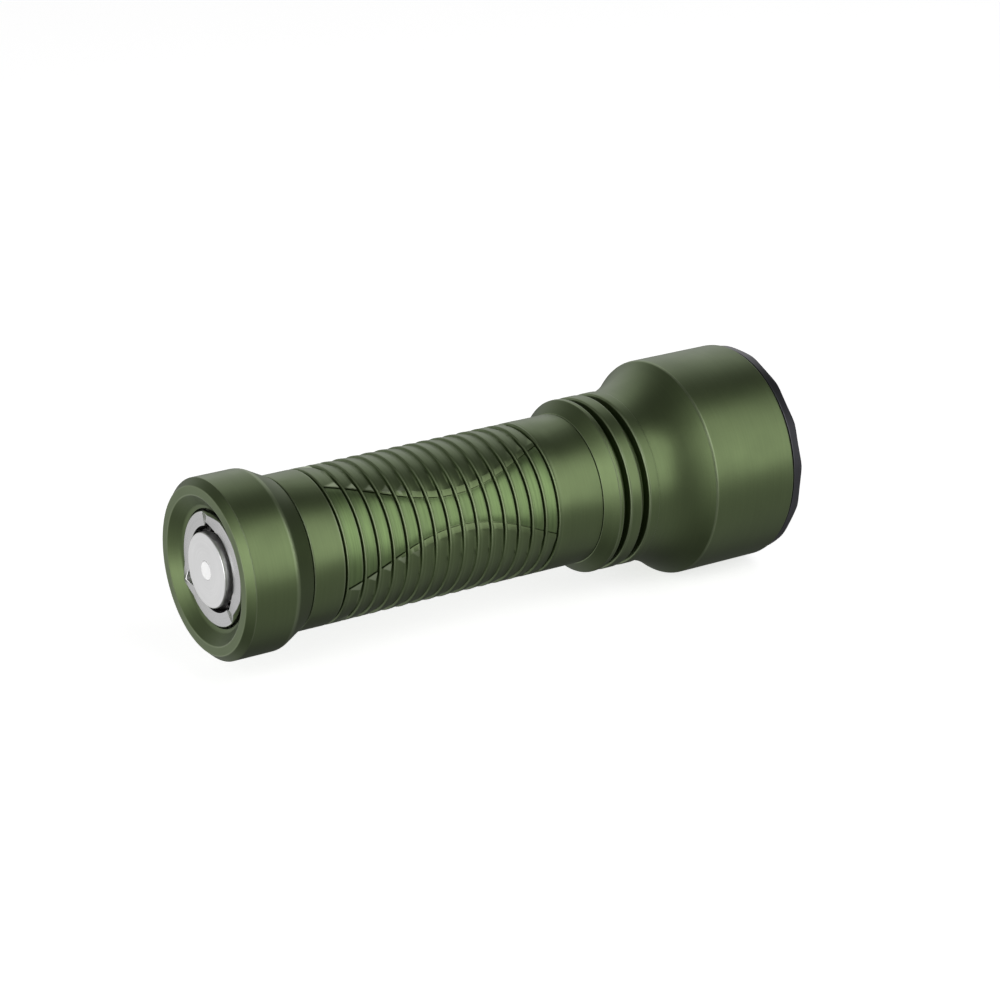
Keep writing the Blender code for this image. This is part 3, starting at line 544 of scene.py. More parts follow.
def make_looks():
    green = (0.126, 0.172, 0.073)
    fresh_green = (0.146, 0.218, 0.082)
    # The pale colour shows rubbed edges and paints a highlight on the grip's border walls
    rubbed_and_highlight_green = (0.36, 0.43, 0.27)
    return {
        "olive_anodised": metal(
            "olive_anodised", green, rubbed_and_highlight_green, 0.40, coat=0.35, bright=fresh_green
        ),
        "dark_anodised": metal("dark_anodised", (0.075, 0.075, 0.085), (0.22, 0.22, 0.24), 0.34, coat=0.3),
        "silver_contact": metal("silver_contact", (0.64, 0.64, 0.64), (0.92, 0.92, 0.92), 0.22, depth=0.0),
        "grey_button": metal("grey_button", (0.93, 0.93, 0.93), (0.98, 0.98, 0.98), 0.34, depth=0.0),
        "white_contact": moulded("white_contact", (0.95, 0.95, 0.94), 0.35),
        "black_plastic": moulded("black_plastic", (0.012, 0.012, 0.013), 0.50),
        "black_rubber": moulded("black_rubber", (0.012, 0.012, 0.012), 0.70, depth=0.000008),
        "spring_steel": metal("spring_steel", (0.60, 0.60, 0.58), (0.80, 0.80, 0.80), 0.24),
        "gold_plating": metal("gold_plating", (0.80, 0.58, 0.25), (0.92, 0.74, 0.42), 0.24),
        "brass": metal("brass", (0.66, 0.50, 0.24), (0.82, 0.68, 0.40), 0.32),
        "magnet_nickel": metal("magnet_nickel", (0.52, 0.51, 0.50), (0.75, 0.75, 0.74), 0.26),
        "board_green": circuit_board("board_green", (0.015, 0.085, 0.035), (0.05, 0.20, 0.08)),
        "board_white": circuit_board("board_white", (0.72, 0.72, 0.70), (0.60, 0.58, 0.52)),
        "chip_black": moulded("chip_black", (0.020, 0.020, 0.022), 0.45, grain_size=0.00006),
        "led_phosphor": led_face("led_phosphor", (0.85, 0.66, 0.08), (0.80, 0.80, 0.78)),
        "mirror_reflector": metal(
            "mirror_reflector", (0.92, 0.92, 0.91), (0.96, 0.96, 0.96), 0.07, depth=0.0000002
        ),
        "coated_glass": lens_coating("coated_glass"),
        "cell_film": moulded("cell_film", (0.025, 0.025, 0.030), 0.26, Coat_Weight=0.4),
        "cell_steel": metal("cell_steel", (0.58, 0.58, 0.57), (0.80, 0.80, 0.80), 0.26),
        "cell_roll": wound_roll("cell_roll", (0.30, 0.27, 0.24)),
        "white_card": moulded("white_card", (0.78, 0.78, 0.76), 0.75),
        "wire_red": moulded("wire_red", (0.50, 0.015, 0.015), 0.42),
    }


# ---------------------------------------------------------------- shapes


def swept_area(profile):
    """Twice the signed area of a (station, radius) outline; positive when it runs anticlockwise."""
    ahead = profile[1:] + profile[:1]
    return sum(a[0] * b[1] - b[0] * a[1] for a, b in zip(profile, ahead))


def rounded_path(profile, closed):
    """The outline as (station, radius, wear) rows, with every corner rounded and supported.

    Wear is 1 in the middle of an outside corner.
    """
    turning = 1 if swept_area(profile) > 0 else -1
    rows = []
    for i, corner in enumerate(profile):
        here = Vector(corner[:2])
        edge = corner[2] if len(corner) > 2 else EDGE
        if edge == 0 or (not closed and i in (0, len(profile) - 1)):
            rows.append((here.x, here.y, 0.0))
            continue
        before = Vector(profile[i - 1][:2]) - here
        after = Vector(profile[(i + 1) % len(profile)][:2]) - here
        reach = min(edge, ROUND_SHARE * before.length, ROUND_SHARE * after.length)
        start = here + before.normalized() * reach
        end = here + after.normalized() * reach
        outside = turning * before.cross(after) < 0
        support = here + before.normalized() * reach * SUPPORT
        rows.append((support.x, support.y, 0.0))
        for step in range(ROUND_STEPS + 1):
            t = step / ROUND_STEPS
            point = start * (1 - t) ** 2 + here * 2 * t * (1 - t) + end * t**2
            worn_and_highlit = 1.0 if outside and 0 < step < ROUND_STEPS else 0.0
            rows.append((point.x, point.y, worn_and_highlit))
        support = here + after.normalized() * reach * SUPPORT
        rows.append((support.x, support.y, 0.0))
    return rows


def grid_object(name, stations, radii, angles, wear_and_highlight, closed=True, milled=0.0, crease=CREASE):
    """A surface from arrays of stations, radii and angles (degrees), a row along the outline each.

    The wear-and-highlight values mark rubbed edges and painted highlights, and milled the flats that were
    cut after blasting.
    """
    rows, columns = radii.shape
    turn = np.radians(angles)
    points = np.stack(
        [TAIL_X + stations, -radii * np.cos(turn), AXIS_Z + radii * np.sin(turn)], axis=-1
    ).reshape(-1, 3)
    index = np.arange(rows * columns).reshape(rows, columns)
    for row in (0, -1):
        if not radii[row].any():
            index[row] = index[row, 0]
    used, flat = np.unique(index, return_inverse=True)
    index = flat.reshape(rows, columns)
    outline = [(stations[i, 0], radii[i, 0]) for i in range(rows)]
    forward = swept_area(outline) > 0
    faces = []
    for row in range(rows if closed else rows - 1):
        here, there = index[row], index[(row + 1) % rows]
        quads = zip(here, np.roll(here, -1), np.roll(there, -1), there)
        for quad in quads:
            corners = list(dict.fromkeys(int(v) for v in quad))
            faces.append(corners if forward else corners[::-1])
    mesh = bpy.data.meshes.new(name)
    mesh.from_pydata(points[used].tolist(), [], faces)
    for label, values in (("wear_and_highlight", wear_and_highlight), ("milled", milled)):
        attribute = mesh.attributes.new(label, "FLOAT", "POINT")
        shown = np.broadcast_to(values, (rows, columns)).reshape(-1)[used]
        attribute.data.foreach_set("value", shown.astype(np.float32))
    mesh.shade_smooth()
    mesh.set_sharp_from_angle(angle=crease)
    obj = bpy.data.objects.new(name, mesh)
    bpy.context.scene.collection.objects.link(obj)
    return obj


def finish_piece(obj, node, look):
    """Gives the piece its look, and lets it stand for a CAD node and move with it."""
    obj.data.materials.append(looks[look])
    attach(obj, frame["nodes"][node]["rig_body"])
    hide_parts(node)
    return obj


def path_arrays(rows, sides):
    """The rows turned round the axis: stations, radii, angles and wear."""
    columns = np.ones(sides)
    stations = np.outer([row[0] for row in rows], columns)
    radii = np.outer([row[1] for row in rows], columns)
    angles = np.outer(np.ones(len(rows)), np.arange(sides) * 360 / sides)
    wear_and_highlight = np.array([row[2] for row in rows])[:, None]
    return stations, radii, angles, wear_and_highlight


def lathe(node, profile, look, sides=SIDES, name=None):
    """A turned piece that stands for a CAD node. It is a solid disc if its outline ends on the axis."""
    solid = profile[0][1] == 0 and profile[-1][1] == 0
    rows = rounded_path(profile, not solid)
    obj = grid_object(name or node + "_turned", *path_arrays(rows, sides), closed=not solid)
    return finish_piece(obj, node, look)


def ring(start, end, inner, outer):
    """The outline of a plain ring."""
    return [(end, inner), (end, outer), (start, outer), (start, inner)]


def disc(start, end, radius):
    """The outline of a plain disc."""
    return [(end, 0), (end, radius), (start, radius), (start, 0)]


def round_ring(center, radius, section):
    """The outline of an O-ring, turning forward round its section."""
    angles = [tau * i / SEAL_POINTS for i in range(SEAL_POINTS)]
    return [(center + section * cos(a), radius + section * sin(a), 0) for a in angles]


def thread_rows(span, radius):
    """Rows close enough together to carry a thread."""
    start, end = span
    count = round((end - start) / THREAD_PITCH * THREAD_STEPS)
    return [(start + (end - start) * i / count, radius, 0.0) for i in range(count + 1)]


def thread_ridge(stations, angles):
    """How far a helical thread stands off its root, over rows that it fades out along at both ends."""
    wave = np.clip(THREAD_FLANK * np.cos(tau * (stations / THREAD_PITCH + angles / 360)), -1, 1)
    fade = np.sin(np.linspace(0, pi, len(stations))) ** THREAD_RUNOUT
    return fade[:, None] * THREAD_DEPTH * (1 + wave) / 2


def make_tail_cap():
    """The cap, with its rear recess and its inner thread."""
    outline = [
        (CAP_LENGTH, THREAD_BORE_RADIUS),
        (CAP_LENGTH, CAP_MOUTH_RADIUS),
        (CAP_TAPER_START, CAP_RADIUS, CAP_TAPER_EDGE),
        (CAP_RIM_CHAMFER, CAP_RADIUS),
        (0, CAP_RIM_RADIUS, FINE_EDGE),
        (0, RECESS_LIP_RADIUS, FINE_EDGE),
        (RECESS_FLOOR_START, RECESS_FLOOR_RADIUS, 2 * EDGE),
        (RECESS_DEPTH, CROWN_BORE_RADIUS),
        (CAP_SHELF, CROWN_BORE_RADIUS),
        (CAP_SHELF, THREAD_BORE_RADIUS),
    ]
    thread = thread_rows(CAP_THREAD, THREAD_BORE_RADIUS)
    stations, radii, angles, wear_and_highlight = path_arrays(rounded_path(outline, True) + thread, SIDES)
    threaded = slice(-len(thread), None)
    radii[threaded] += thread_ridge(stations[threaded], angles[threaded])
    obj = grid_object("tail_cap_turned", stations, radii, angles, wear_and_highlight)
    finish_piece(obj, "tail_cap", "olive_anodised")


def lug_share(angles, half_angle):
    """1 on the middle line of a lug, falling evenly to 0 at its sides."""
    share = np.zeros_like(angles)
    for lug in LUG_ANGLES:
        away = np.abs((angles - lug + 180) % 360 - 180)
        share = np.maximum(share, 1 - away / half_angle)
    return np.clip(share, 0, 1)


def make_contact_crown():
    """A ring whose face rises into three faceted lugs, with a notch in the bore behind each."""
    flange_start = CAP_SHELF + GAP
    flange_end = flange_start + CROWN_FLANGE_THICKNESS
    outline = [
        (flange_end, CROWN_INNER_RADIUS),
        (flange_end, CROWN_FLANGE_RADIUS),
        (flange_start, CROWN_FLANGE_RADIUS),
        (flange_start, CROWN_RADIUS),
        (CROWN_FACE, CROWN_RADIUS, CROWN_EDGE),
        (CROWN_FACE, (CROWN_RADIUS + CROWN_INNER_RADIUS) / 2, SOFT_EDGE),
        (CROWN_FACE, CROWN_INNER_RADIUS, FINE_EDGE),
    ]
    rows = rounded_path(outline, True)
    stations, radii, angles, wear_and_highlight = path_arrays(rows, 2 * SIDES)
    notch = LUG_NOTCH * lug_share(angles, LUG_NOTCH_HALF_ANGLE)
    inward = np.clip((CROWN_RADIUS - radii) / (CROWN_RADIUS - CROWN_INNER_RADIUS), 0, 1)
    at_face = np.clip(1 - (stations - CROWN_FACE) / (flange_start - CROWN_FACE), 0, 1)
    lift = LUG_RISE * lug_share(angles, LUG_HALF_ANGLE)
    slope = LUG_OUTER_SHARE + (1 - LUG_OUTER_SHARE) * inward
    stations = stations - at_face * lift * slope
    radii = radii + notch * inward * at_face
    obj = grid_object("contact_crown_turned", stations, radii, angles, wear_and_highlight, crease=LUG_CREASE)
    finish_piece(obj, "contact_crown", "silver_contact")
    return flange_end


def coil(node, start, end, radii, wire, turns, look):
    """A round-wire spring with a flat end turn at each end."""
    count = int((turns + COIL_END_TURNS) * COIL_STEPS)
    curve = bpy.data.curves.new(node + "_wound", "CURVE")
    curve.dimensions = "3D"
    curve.bevel_depth = wire
    curve.bevel_resolution = WIRE_ROUNDING
    curve.use_fill_caps = True
    spline = curve.splines.new("POLY")
    spline.points.add(count)
    for i, point in enumerate(spline.points):
        turn = i / COIL_STEPS
        part = min(1.0, max(0.0, (turn - COIL_END_TURNS / 2) / turns))
        radius = radii[0] + (radii[1] - radii[0]) * part
        angle = tau * turn
        x = TAIL_X + start + wire + (end - start - 2 * wire) * part
        point.co = (x, -radius * cos(angle), AXIS_Z + radius * sin(angle), 1)
    obj = bpy.data.objects.new(node + "_wound", curve)
    bpy.context.scene.collection.objects.link(obj)
    return finish_piece(obj, node, look)


def make_tail_stack(flange_end):
    """What lies behind the crown: insulator, magnet, board, clamp ring and the cell's contact."""
    insulator_start = flange_end + GAP
    insulator_end = insulator_start + INSULATOR_THICKNESS
    profile = ring(insulator_start, insulator_end, CROWN_INNER_RADIUS + GAP, SPIGOT_RADIUS)
    lathe("contact_insulator", profile, "black_plastic", SMALL_SIDES)
    magnet_start = insulator_end + GAP
    magnet_end = magnet_start + MAGNET_THICKNESS
    profile = ring(magnet_start, magnet_end, MAGNET_INNER_RADIUS, CROWN_FLANGE_RADIUS)
    lathe("charge_magnet", profile, "magnet_nickel", SMALL_SIDES)
    board_start = magnet_end + GAP
    board_end = board_start + TAIL_BOARD_THICKNESS
    lathe("switch_board", disc(board_start, board_end, SPIGOT_RADIUS), "board_green", SMALL_SIDES)
    ring_start = board_end + GAP
    profile = ring(ring_start, ring_start + CLAMP_RING_THICKNESS, CLAMP_RING_BORE, SPIGOT_RADIUS)
    lathe("switch_retaining_ring", profile, "brass", SMALL_SIDES)
    radii = (TAIL_COIL_RADIUS, TAIL_COIL_TIP_RADIUS)
    ends = (board_end + GAP, CELL_START - GAP)
    coil("tail_contact_spring", *ends, radii, TAIL_WIRE_RADIUS, TAIL_TURNS, "gold_plating")


def make_button():
    """The disc with the contact set in its middle, and the stem behind it."""
    end = BUTTON_FACE + BUTTON_THICKNESS
    pocket_radius = CENTER_CONTACT_RADIUS + FINE_GAP / 3
    pocket_end = BUTTON_FACE + CENTER_CONTACT_HEIGHT + FINE_GAP
    profile = [
        (end, 0),
        (end, BUTTON_RADIUS),
        (BUTTON_FACE, BUTTON_RADIUS, BUTTON_EDGE),
        (BUTTON_FACE, pocket_radius, POCKET_EDGE),
        (pocket_end, pocket_radius, POCKET_EDGE / 2),
        (pocket_end, 0),
    ]
    lathe("button_disc", profile, "grey_button", SIDES)
    contact_start = BUTTON_FACE - CENTER_CONTACT_PROUD
    profile = disc(contact_start, BUTTON_FACE + CENTER_CONTACT_HEIGHT, CENTER_CONTACT_RADIUS)
    lathe("button_center_contact", profile, "white_contact", SMALL_SIDES)
    stem_start = end + GAP
    flange_end = stem_start + STEM_FLANGE_THICKNESS
    profile = [
        (STEM_END, 0),
        (STEM_END, STEM_RADIUS),
        (flange_end, STEM_RADIUS),
        (flange_end, STEM_FLANGE_RADIUS),
        (stem_start, STEM_FLANGE_RADIUS),
        (stem_start, 0),
    ]
    lathe("button_stem", profile, "black_plastic", SMALL_SIDES)


def ridge_rows(center, room):
    """RIDGE as rows in metres, stretched after its lip to fill the room up to the next groove."""
    stretch = (room * 1000 - LIP_END) / (GROOVE_PITCH * 1000 - LIP_END)
    rows = []
    for offset, leaf, outer, through, wear_and_highlight in RIDGE:
        place = offset + max(0, offset - LIP_END) * (stretch - 1)
        rows.append((center + place / 1000, leaf / 1000, outer / 1000, through, wear_and_highlight))
    return rows


def rise(values, start, end):
    """0 up to the start, 1 from the end on, and smooth between them."""
    part = np.clip((values - start) / (end - start), 0, 1)
    return part * part * (3 - 2 * part)


def band_swell(stations):
    """How far the band beside a leaf has grown to its full size: 0 at both ends of the grip."""
    return rise(stations, *BAND_ENDS[:2]) * (1 - rise(stations, *BAND_ENDS[2:]))


def leaf_columns(stations):
    """For each row: the columns' angles, how far each lies beyond a leaf's border, and the band's width.

    The columns follow the borders of the leaves and of their bands, so that both are clean lines.
    """
    swing = 1 - np.cos(tau * (stations - LEAF_WAIST) / LEAF_WAVE)
    half = (LEAF_HALF_ANGLE + LEAF_SWELL * swing)[:, None]
    band = NARROW_BAND + (WIDE_BAND - NARROW_BAND) * band_swell(stations)[:, None]
    one = np.ones_like(half)
    border = np.concatenate(
        [
            LINE_EDGE * one,
            LINE_WIDTH * one,
            LINE_FAR_EDGE * one,
            band + WALL_WIDTH * np.linspace(0, 1, WALL_COLUMNS),
        ],
        axis=1,
    )
    turn = 360 / LEAF_COUNT
    left = half + border[:, -1:]
    between = left + (turn - 2 * left) * np.linspace(0, 1, BETWEEN_COLUMNS + 1)[1:-1]
    across = half * np.linspace(-1, 1, LEAF_COLUMNS + 1)
    local = np.concatenate([across, half + border, between, turn - half - border[:, ::-1]], axis=1)
    angles = np.concatenate([LEAF_CENTER + turn * i + local for i in range(LEAF_COUNT)], axis=1)
    beyond = np.minimum(np.abs(local) - half, turn - half - local)
    return angles, np.concatenate([beyond] * LEAF_COUNT, axis=1), band


def leaf_relief(stations, beyond, band, leaf, outer, through):
    """The depth of the grip below its full radius, and where a border's wall gets a painted highlight.

    A leaf sags towards its border. Round it run a thin cut line and a band that leans to the leaf; a
    wall then falls to the scooped ridges between the leaves. Grooves grow shallow away from a leaf.
    """
    sag = LEAF_SAG * np.clip(1 + beyond / LEAF_SHOULDER, 0, 1) ** 2
    lean = np.clip((beyond - LINE_FAR_EDGE) / (band - LINE_FAR_EDGE), 0, 1)
    foot = BAND_RIM_DEPTH + (BAND_FOOT_DEPTH - BAND_RIM_DEPTH) * band_swell(stations)
    inside_band = foot + (BAND_RIM_DEPTH - foot) * lean
    wall = BAND_RIM_DEPTH + (beyond - band) * WALL_SLOPE
    depth = np.where(beyond <= band, inside_band, np.minimum(outer, wall))
    depth = np.where(beyond < (LINE_WIDTH + LINE_FAR_EDGE) / 2, LINE_DEPTH, depth)
    depth = np.where(beyond < LINE_EDGE / 2, leaf + sag, depth)
    groove = leaf + (outer - leaf) * rise(beyond, *GROOVE_FADES)
    # The wall below the band gets a painted highlight, fading out along the grip
    wear_and_highlight_share = (beyond >= band) & (wall < outer) & ~through
    wear_and_highlight_share = WALL_HIGHLIGHT * wear_and_highlight_share * (1 - rise(stations, *WALL_HIGHLIGHT_FADE))
    return np.where(through, groove, depth), wear_and_highlight_share


def seal_groove(center):
    """The outline of an O-ring's groove in a spigot."""
    half = SEAL_GROOVE_WIDTH / 2
    return [
        (center - half, SPIGOT_RADIUS),
        (center - half, SEAL_GROOVE_RADIUS),
        (center + half, SEAL_GROOVE_RADIUS),
        (center + half, SPIGOT_RADIUS),
    ]


def splice(rows, extra):
    """Puts extra rows in their place along the outside of an outline; also gives their slice."""
    at = next(i for i, row in enumerate(rows) if row[0] > extra[0][0])
    return rows[:at] + extra + rows[at:], slice(at, at + len(extra))


def make_battery_tube():
    """Rows run along the outside from the tail spigot to the nose, and back through the bore."""
    centers = [FIRST_GROOVE] + [SECOND_GROOVE + GROOVE_PITCH * i for i in range(GROOVE_COUNT - 1)]
    rooms = [after - before for before, after in zip(centers, centers[1:])] + [GROOVE_PITCH]
    ridges = [row for center, room in zip(centers, rooms) for row in ridge_rows(center, room)]
    places, leaf, outer, through, worn_and_highlit = (np.array(column) for column in zip(*ridges))
    plain = (places < centers[0]) | (places > centers[-1])

    outline = [(TUBE_START, TUBE_BORE_RADIUS), (TUBE_START, THREAD_ROOT_RADIUS, 2 * EDGE)]
    outline += [(SPIGOT_THREAD[0] - EDGE, THREAD_ROOT_RADIUS, 0)]
    outline += seal_groove(TAIL_SEAL_CENTER)
    outline += [(TUBE_SHOULDER, SPIGOT_RADIUS), (TUBE_SHOULDER, TUBE_RADIUS, TUBE_SHOULDER_EDGE)]
    outline += [(places[0] - GAP, TUBE_RADIUS, 0), (places[-1] + GAP, TUBE_RADIUS, 0)]
    outline += [(TUBE_END, TUBE_RADIUS), (TUBE_END, SPIGOT_RADIUS)]
    outline += seal_groove(HEAD_SEAL_CENTER)
    outline += [(TUBE_NOSE, SPIGOT_RADIUS, SOFT_EDGE), (TUBE_NOSE, TUBE_BORE_RADIUS)]
    rows, threaded = splice(rounded_path(outline, True), thread_rows(SPIGOT_THREAD, THREAD_ROOT_RADIUS))
    rows, grip = splice(rows, [(place, TUBE_RADIUS, wear_and_highlight) for place, wear_and_highlight in zip(places, worn_and_highlit)])

    stations, radii, wear_and_highlight = (np.array(column) for column in zip(*rows))
    angles, beyond, band = leaf_columns(stations)
    stations = stations[:, None] + np.zeros_like(angles)
    radii = radii[:, None] + np.zeros_like(angles)
    radii[threaded] += thread_ridge(stations[threaded], angles[threaded])
    wear_and_highlight = wear_and_highlight[:, None] + np.zeros_like(angles)
    outer = np.where(plain, leaf, outer)
    through = through | plain
    shape = [column[:, None] for column in (leaf, outer, through)]
    relief, wear_and_highlight_share = leaf_relief(stations[grip], beyond[grip], band[grip], *shape)
    radii[grip] -= relief
    # The walls' painted highlight is carried along with the edge wear
    wear_and_highlight[grip] = np.maximum(wear_and_highlight[grip], wear_and_highlight_share)
    milled = np.zeros_like(radii)
    milled[grip] = (beyond[grip] < LINE_EDGE) & ~through[:, None]
    obj = grid_object("battery_tube_turned", stations, radii, angles, wear_and_highlight, milled=milled)
    finish_piece(obj, "battery_tube", "olive_anodised")
    for node, center in (("tube_tail_seal", TAIL_SEAL_CENTER), ("tube_head_seal", HEAD_SEAL_CENTER)):
        profile = round_ring(center, SEAL_RING_RADIUS, SEAL_RING_SECTION)
        lathe(node, profile, "black_rubber", SMALL_SIDES)


def make_cell():
    """The cell's can, film, top washer and raised contact."""
    inner = CELL_RADIUS - CELL_WALL
    floor = CELL_START + CELL_BASE
    profile = [
        (floor, 0),
        (floor, inner),
        (CELL_END, inner),
        (CELL_END, CELL_RADIUS),
        (CELL_START, CELL_RADIUS, SOFT_EDGE),
        (CELL_START, 0),
    ]
    lathe("cell_can", profile, "cell_steel", SMALL_SIDES)
    start = CELL_START + GAP
    profile = ring(start, CELL_END + 2 * GAP, SLEEVE_RADIUS - SLEEVE_WALL, SLEEVE_RADIUS)
    lathe("cell_sleeve", profile, "cell_film", SIDES)
    start = CELL_END + GAP
    profile = ring(start, start + GAP, CELL_CAP_RADIUS + GAP, CELL_INSULATOR_RADIUS)
    lathe("cell_top_insulator", profile, "white_card", SMALL_SIDES)
    profile = [
        (CELL_CAP_END, 0),
        (CELL_CAP_END, CELL_CAP_RADIUS, SOFT_EDGE),
        (CELL_CAP_START, CELL_CAP_RADIUS, SOFT_EDGE),
        (CELL_CAP_START, 0),
    ]
    lathe("cell_positive_cap", profile, "cell_steel", SMALL_SIDES)


def flare_points():
    """The hollow flare, from its wide end to its narrow one, where it meets a step below the fins."""
    points = []
    narrow = FIN_RADIUS - FIN_STEP
    for step in range(FLARE_STEPS + 1):
        part = step / FLARE_STEPS
        station = FLARE_END + (FLARE_START - FLARE_END) * part
        radius = HEAD_RADIUS + (narrow - HEAD_RADIUS) * part
        edge = SOFT_EDGE if step == 0 else 0
        points.append((station, radius - 4 * FLARE_HOLLOW * part * (1 - part), edge))
    return points + [(FLARE_START - EDGE, narrow, 0), (FLARE_START - 2 * EDGE, FIN_RADIUS, FIN_EDGE)]


def make_head():
    """The outer shell, and apart from it the shelf that carries the LED board."""
    points = [
        (SHELF_FRONT, SHELF_RADIUS),
        (CAVITY_START, CAVITY_RADIUS),
        (LEDGE, CAVITY_RADIUS),
        (LEDGE, BEZEL_BORE_RADIUS),
        (HEAD_END, BEZEL_BORE_RADIUS),
        (HEAD_END, HEAD_RADIUS, HEAD_EDGE),
    ]
    points += flare_points()
    for start, end in reversed(FIN_VALLEYS):
        points.append((end, FIN_RADIUS, FIN_EDGE))
        points.append((end - EDGE, FIN_VALLEY_RADIUS, FIN_ROOT_EDGE))
        points.append((start + EDGE, FIN_VALLEY_RADIUS, FIN_ROOT_EDGE))
        points.append((start, FIN_RADIUS, FIN_EDGE))
    points += [
        (COLLAR_START, FIN_RADIUS, FINE_EDGE),
        (HEAD_START, CAP_MOUTH_RADIUS),
        (HEAD_START, THREAD_BORE_RADIUS),
    ]
    lathe("head_housing", points, "olive_anodised", name="head_shell")
    edge = THREAD_BORE_RADIUS - FINE_GAP / 4
    shelf = lathe(
        "head_housing", disc(SHELF_REAR, SHELF_FRONT, edge), "olive_anodised", SMALL_SIDES, "head_shelf"
    )
    holes = [(SCREW_CIRCLE, 0, SCREW_HOLE_RADIUS), (SCREW_CIRCLE, 180, SCREW_HOLE_RADIUS)]
    holes += [(WIRE_CIRCLE, 90, WIRE_HOLE_RADIUS), (WIRE_CIRCLE, 270, WIRE_HOLE_RADIUS)]
    drill(shelf, holes, SHELF_REAR - GAP, SHELF_FRONT + GAP)


def drill(obj, holes, start, end):
    """Drills (circle radius, angle, hole radius) holes along the axis, and removes the drill."""
    vertices, faces = [], []
    sides = DRILL_SIDES
    for circle, angle, radius in holes:
        middle = Vector((-circle * cos(radians(angle)), circle * sin(radians(angle))))
        base = len(vertices)
        for station in (start, end):
            for i in range(sides):
                turn = tau * i / sides
                y = middle.x + radius * cos(turn)
                z = middle.y + radius * sin(turn)
                vertices.append((TAIL_X + station, y, AXIS_Z + z))
        faces.append([base + i for i in range(sides)][::-1])
        faces.append([base + sides + i for i in range(sides)])
        for i in range(sides):
            j = (i + 1) % sides
            faces.append([base + i, base + j, base + sides + j, base + sides + i])
    mesh = bpy.data.meshes.new("drill")
    mesh.from_pydata(vertices, [], faces)
    tool = bpy.data.objects.new("drill", mesh)
    bpy.context.scene.collection.objects.link(tool)
    boolean = obj.modifiers.new("holes", "BOOLEAN")
    boolean.operation = "DIFFERENCE"
    boolean.solver = "EXACT"
    boolean.object = tool
    depsgraph = bpy.context.evaluated_depsgraph_get()
    obj.data = bpy.data.meshes.new_from_object(obj.evaluated_get(depsgraph))
    obj.modifiers.remove(boolean)
    bpy.data.objects.remove(tool)


def make_light_engine():
    """The ring that centres the LED, and the parabolic reflector focused on it."""
    board_start = SHELF_FRONT + GAP
    start = board_start + BOARD_THICKNESS + FINE_GAP
    focus = start + LED_THICKNESS
    profile = ring(start, start + CENTERING_THICKNESS, CENTERING_INNER_RADIUS, CENTERING_RADIUS)
    lathe("led_centering_ring", profile, "white_card", SMALL_SIDES)
    depth = REFLECTOR_FRONT - focus
    focal_length = (sqrt(depth**2 + REFLECTOR_MOUTH_RADIUS**2) - depth) / 2
    span = REFLECTOR_FRONT - REFLECTOR_REAR
    inside = []
    for step in range(REFLECTOR_STEPS + 1):
        station = REFLECTOR_REAR + span * step / REFLECTOR_STEPS
        inside.append((station, sqrt(4 * focal_length * (station - focus + focal_length)), 0))
    flange_start = REFLECTOR_FRONT - FINE_GAP
    flange_end = flange_start + REFLECTOR_FLANGE_THICKNESS
    outside = [(station, radius + REFLECTOR_WALL, 0) for station, radius, _ in inside[:-1]]
    outside.append((flange_start, REFLECTOR_MOUTH_RADIUS + REFLECTOR_WALL, 0))
    profile = inside + [
        (flange_end, REFLECTOR_MOUTH_RADIUS),
        (flange_end, REFLECTOR_FLANGE_RADIUS),
        (flange_start, REFLECTOR_FLANGE_RADIUS),
    ]
    lathe("reflector", profile + outside[::-1], "mirror_reflector")


def make_front():
    """The lens, its seal and the scalloped bezel."""
    end = LENS_START + LENS_THICKNESS
    lathe("lens_glass", disc(LENS_START, end, LENS_RADIUS), "coated_glass")
    center = (end + BEZEL_START) / 2
    profile = round_ring(center, LENS_SEAL_RADIUS, LENS_SEAL_SECTION)
    lathe("lens_seal", profile, "black_rubber", SMALL_SIDES)
    outline = [
        (LENGTH, BEZEL_MOUTH_RADIUS, SOFT_EDGE),
        (LENGTH, BEZEL_FRONT_RADIUS, 2 * EDGE),
        (BEZEL_SHOULDER, BEZEL_SHOULDER_RADIUS, 2 * EDGE),
        (BEZEL_START, BEZEL_RADIUS),
        (BEZEL_START, BEZEL_SKIRT_RADIUS),
        (BEZEL_SKIRT_START, BEZEL_SKIRT_RADIUS),
        (BEZEL_SKIRT_START, BEZEL_SKIRT_INNER_RADIUS),
        (BEZEL_START, BEZEL_SKIRT_INNER_RADIUS),
        (BEZEL_START, BEZEL_LIP_RADIUS),
        (BEZEL_LIP_START, BEZEL_LIP_RADIUS),
    ]
    rows = rounded_path(outline, True)
    stations, radii, angles, wear_and_highlight = path_arrays(rows, 2 * SIDES)
    turns = (angles - SCALLOP_PHASE) / 360 * SCALLOP_COUNT
    dip = SCALLOP_DEPTH * ((1 + np.cos(tau * turns)) / 2) ** SCALLOP_BREADTH
    depth = np.clip((stations - BEZEL_START) / (LENGTH - BEZEL_START), 0, 1)
    outward = rise(radii, BEZEL_LIP_RADIUS, (BEZEL_LIP_RADIUS + BEZEL_FRONT_RADIUS) / 2)
    stations = stations - dip * depth * outward
    obj = grid_object("bezel_ring_turned", stations, radii, angles, wear_and_highlight)
    finish_piece(obj, "bezel_ring", "dark_anodised")


def paint_cad_nodes():
    """Gives every CAD node that still shows its own look, and softens the edges of the blocks."""
    for obj in frame["nodes"].values():
        if obj.hide_render:
            continue
        for slot in obj.material_slots:
            name = slot.material.name.split(".")[0]
            slot.material = looks[name]
        bevel = obj.modifiers.new("soft_edges", "BEVEL")
        bevel.width = BLOCK_BEVEL
        bevel.segments = BLOCK_BEVEL_STEPS
        bevel.limit_method = "ANGLE"
        bevel.angle_limit = BLOCK_BEVEL_ANGLE


# ---------------------------------------------------------------- stage


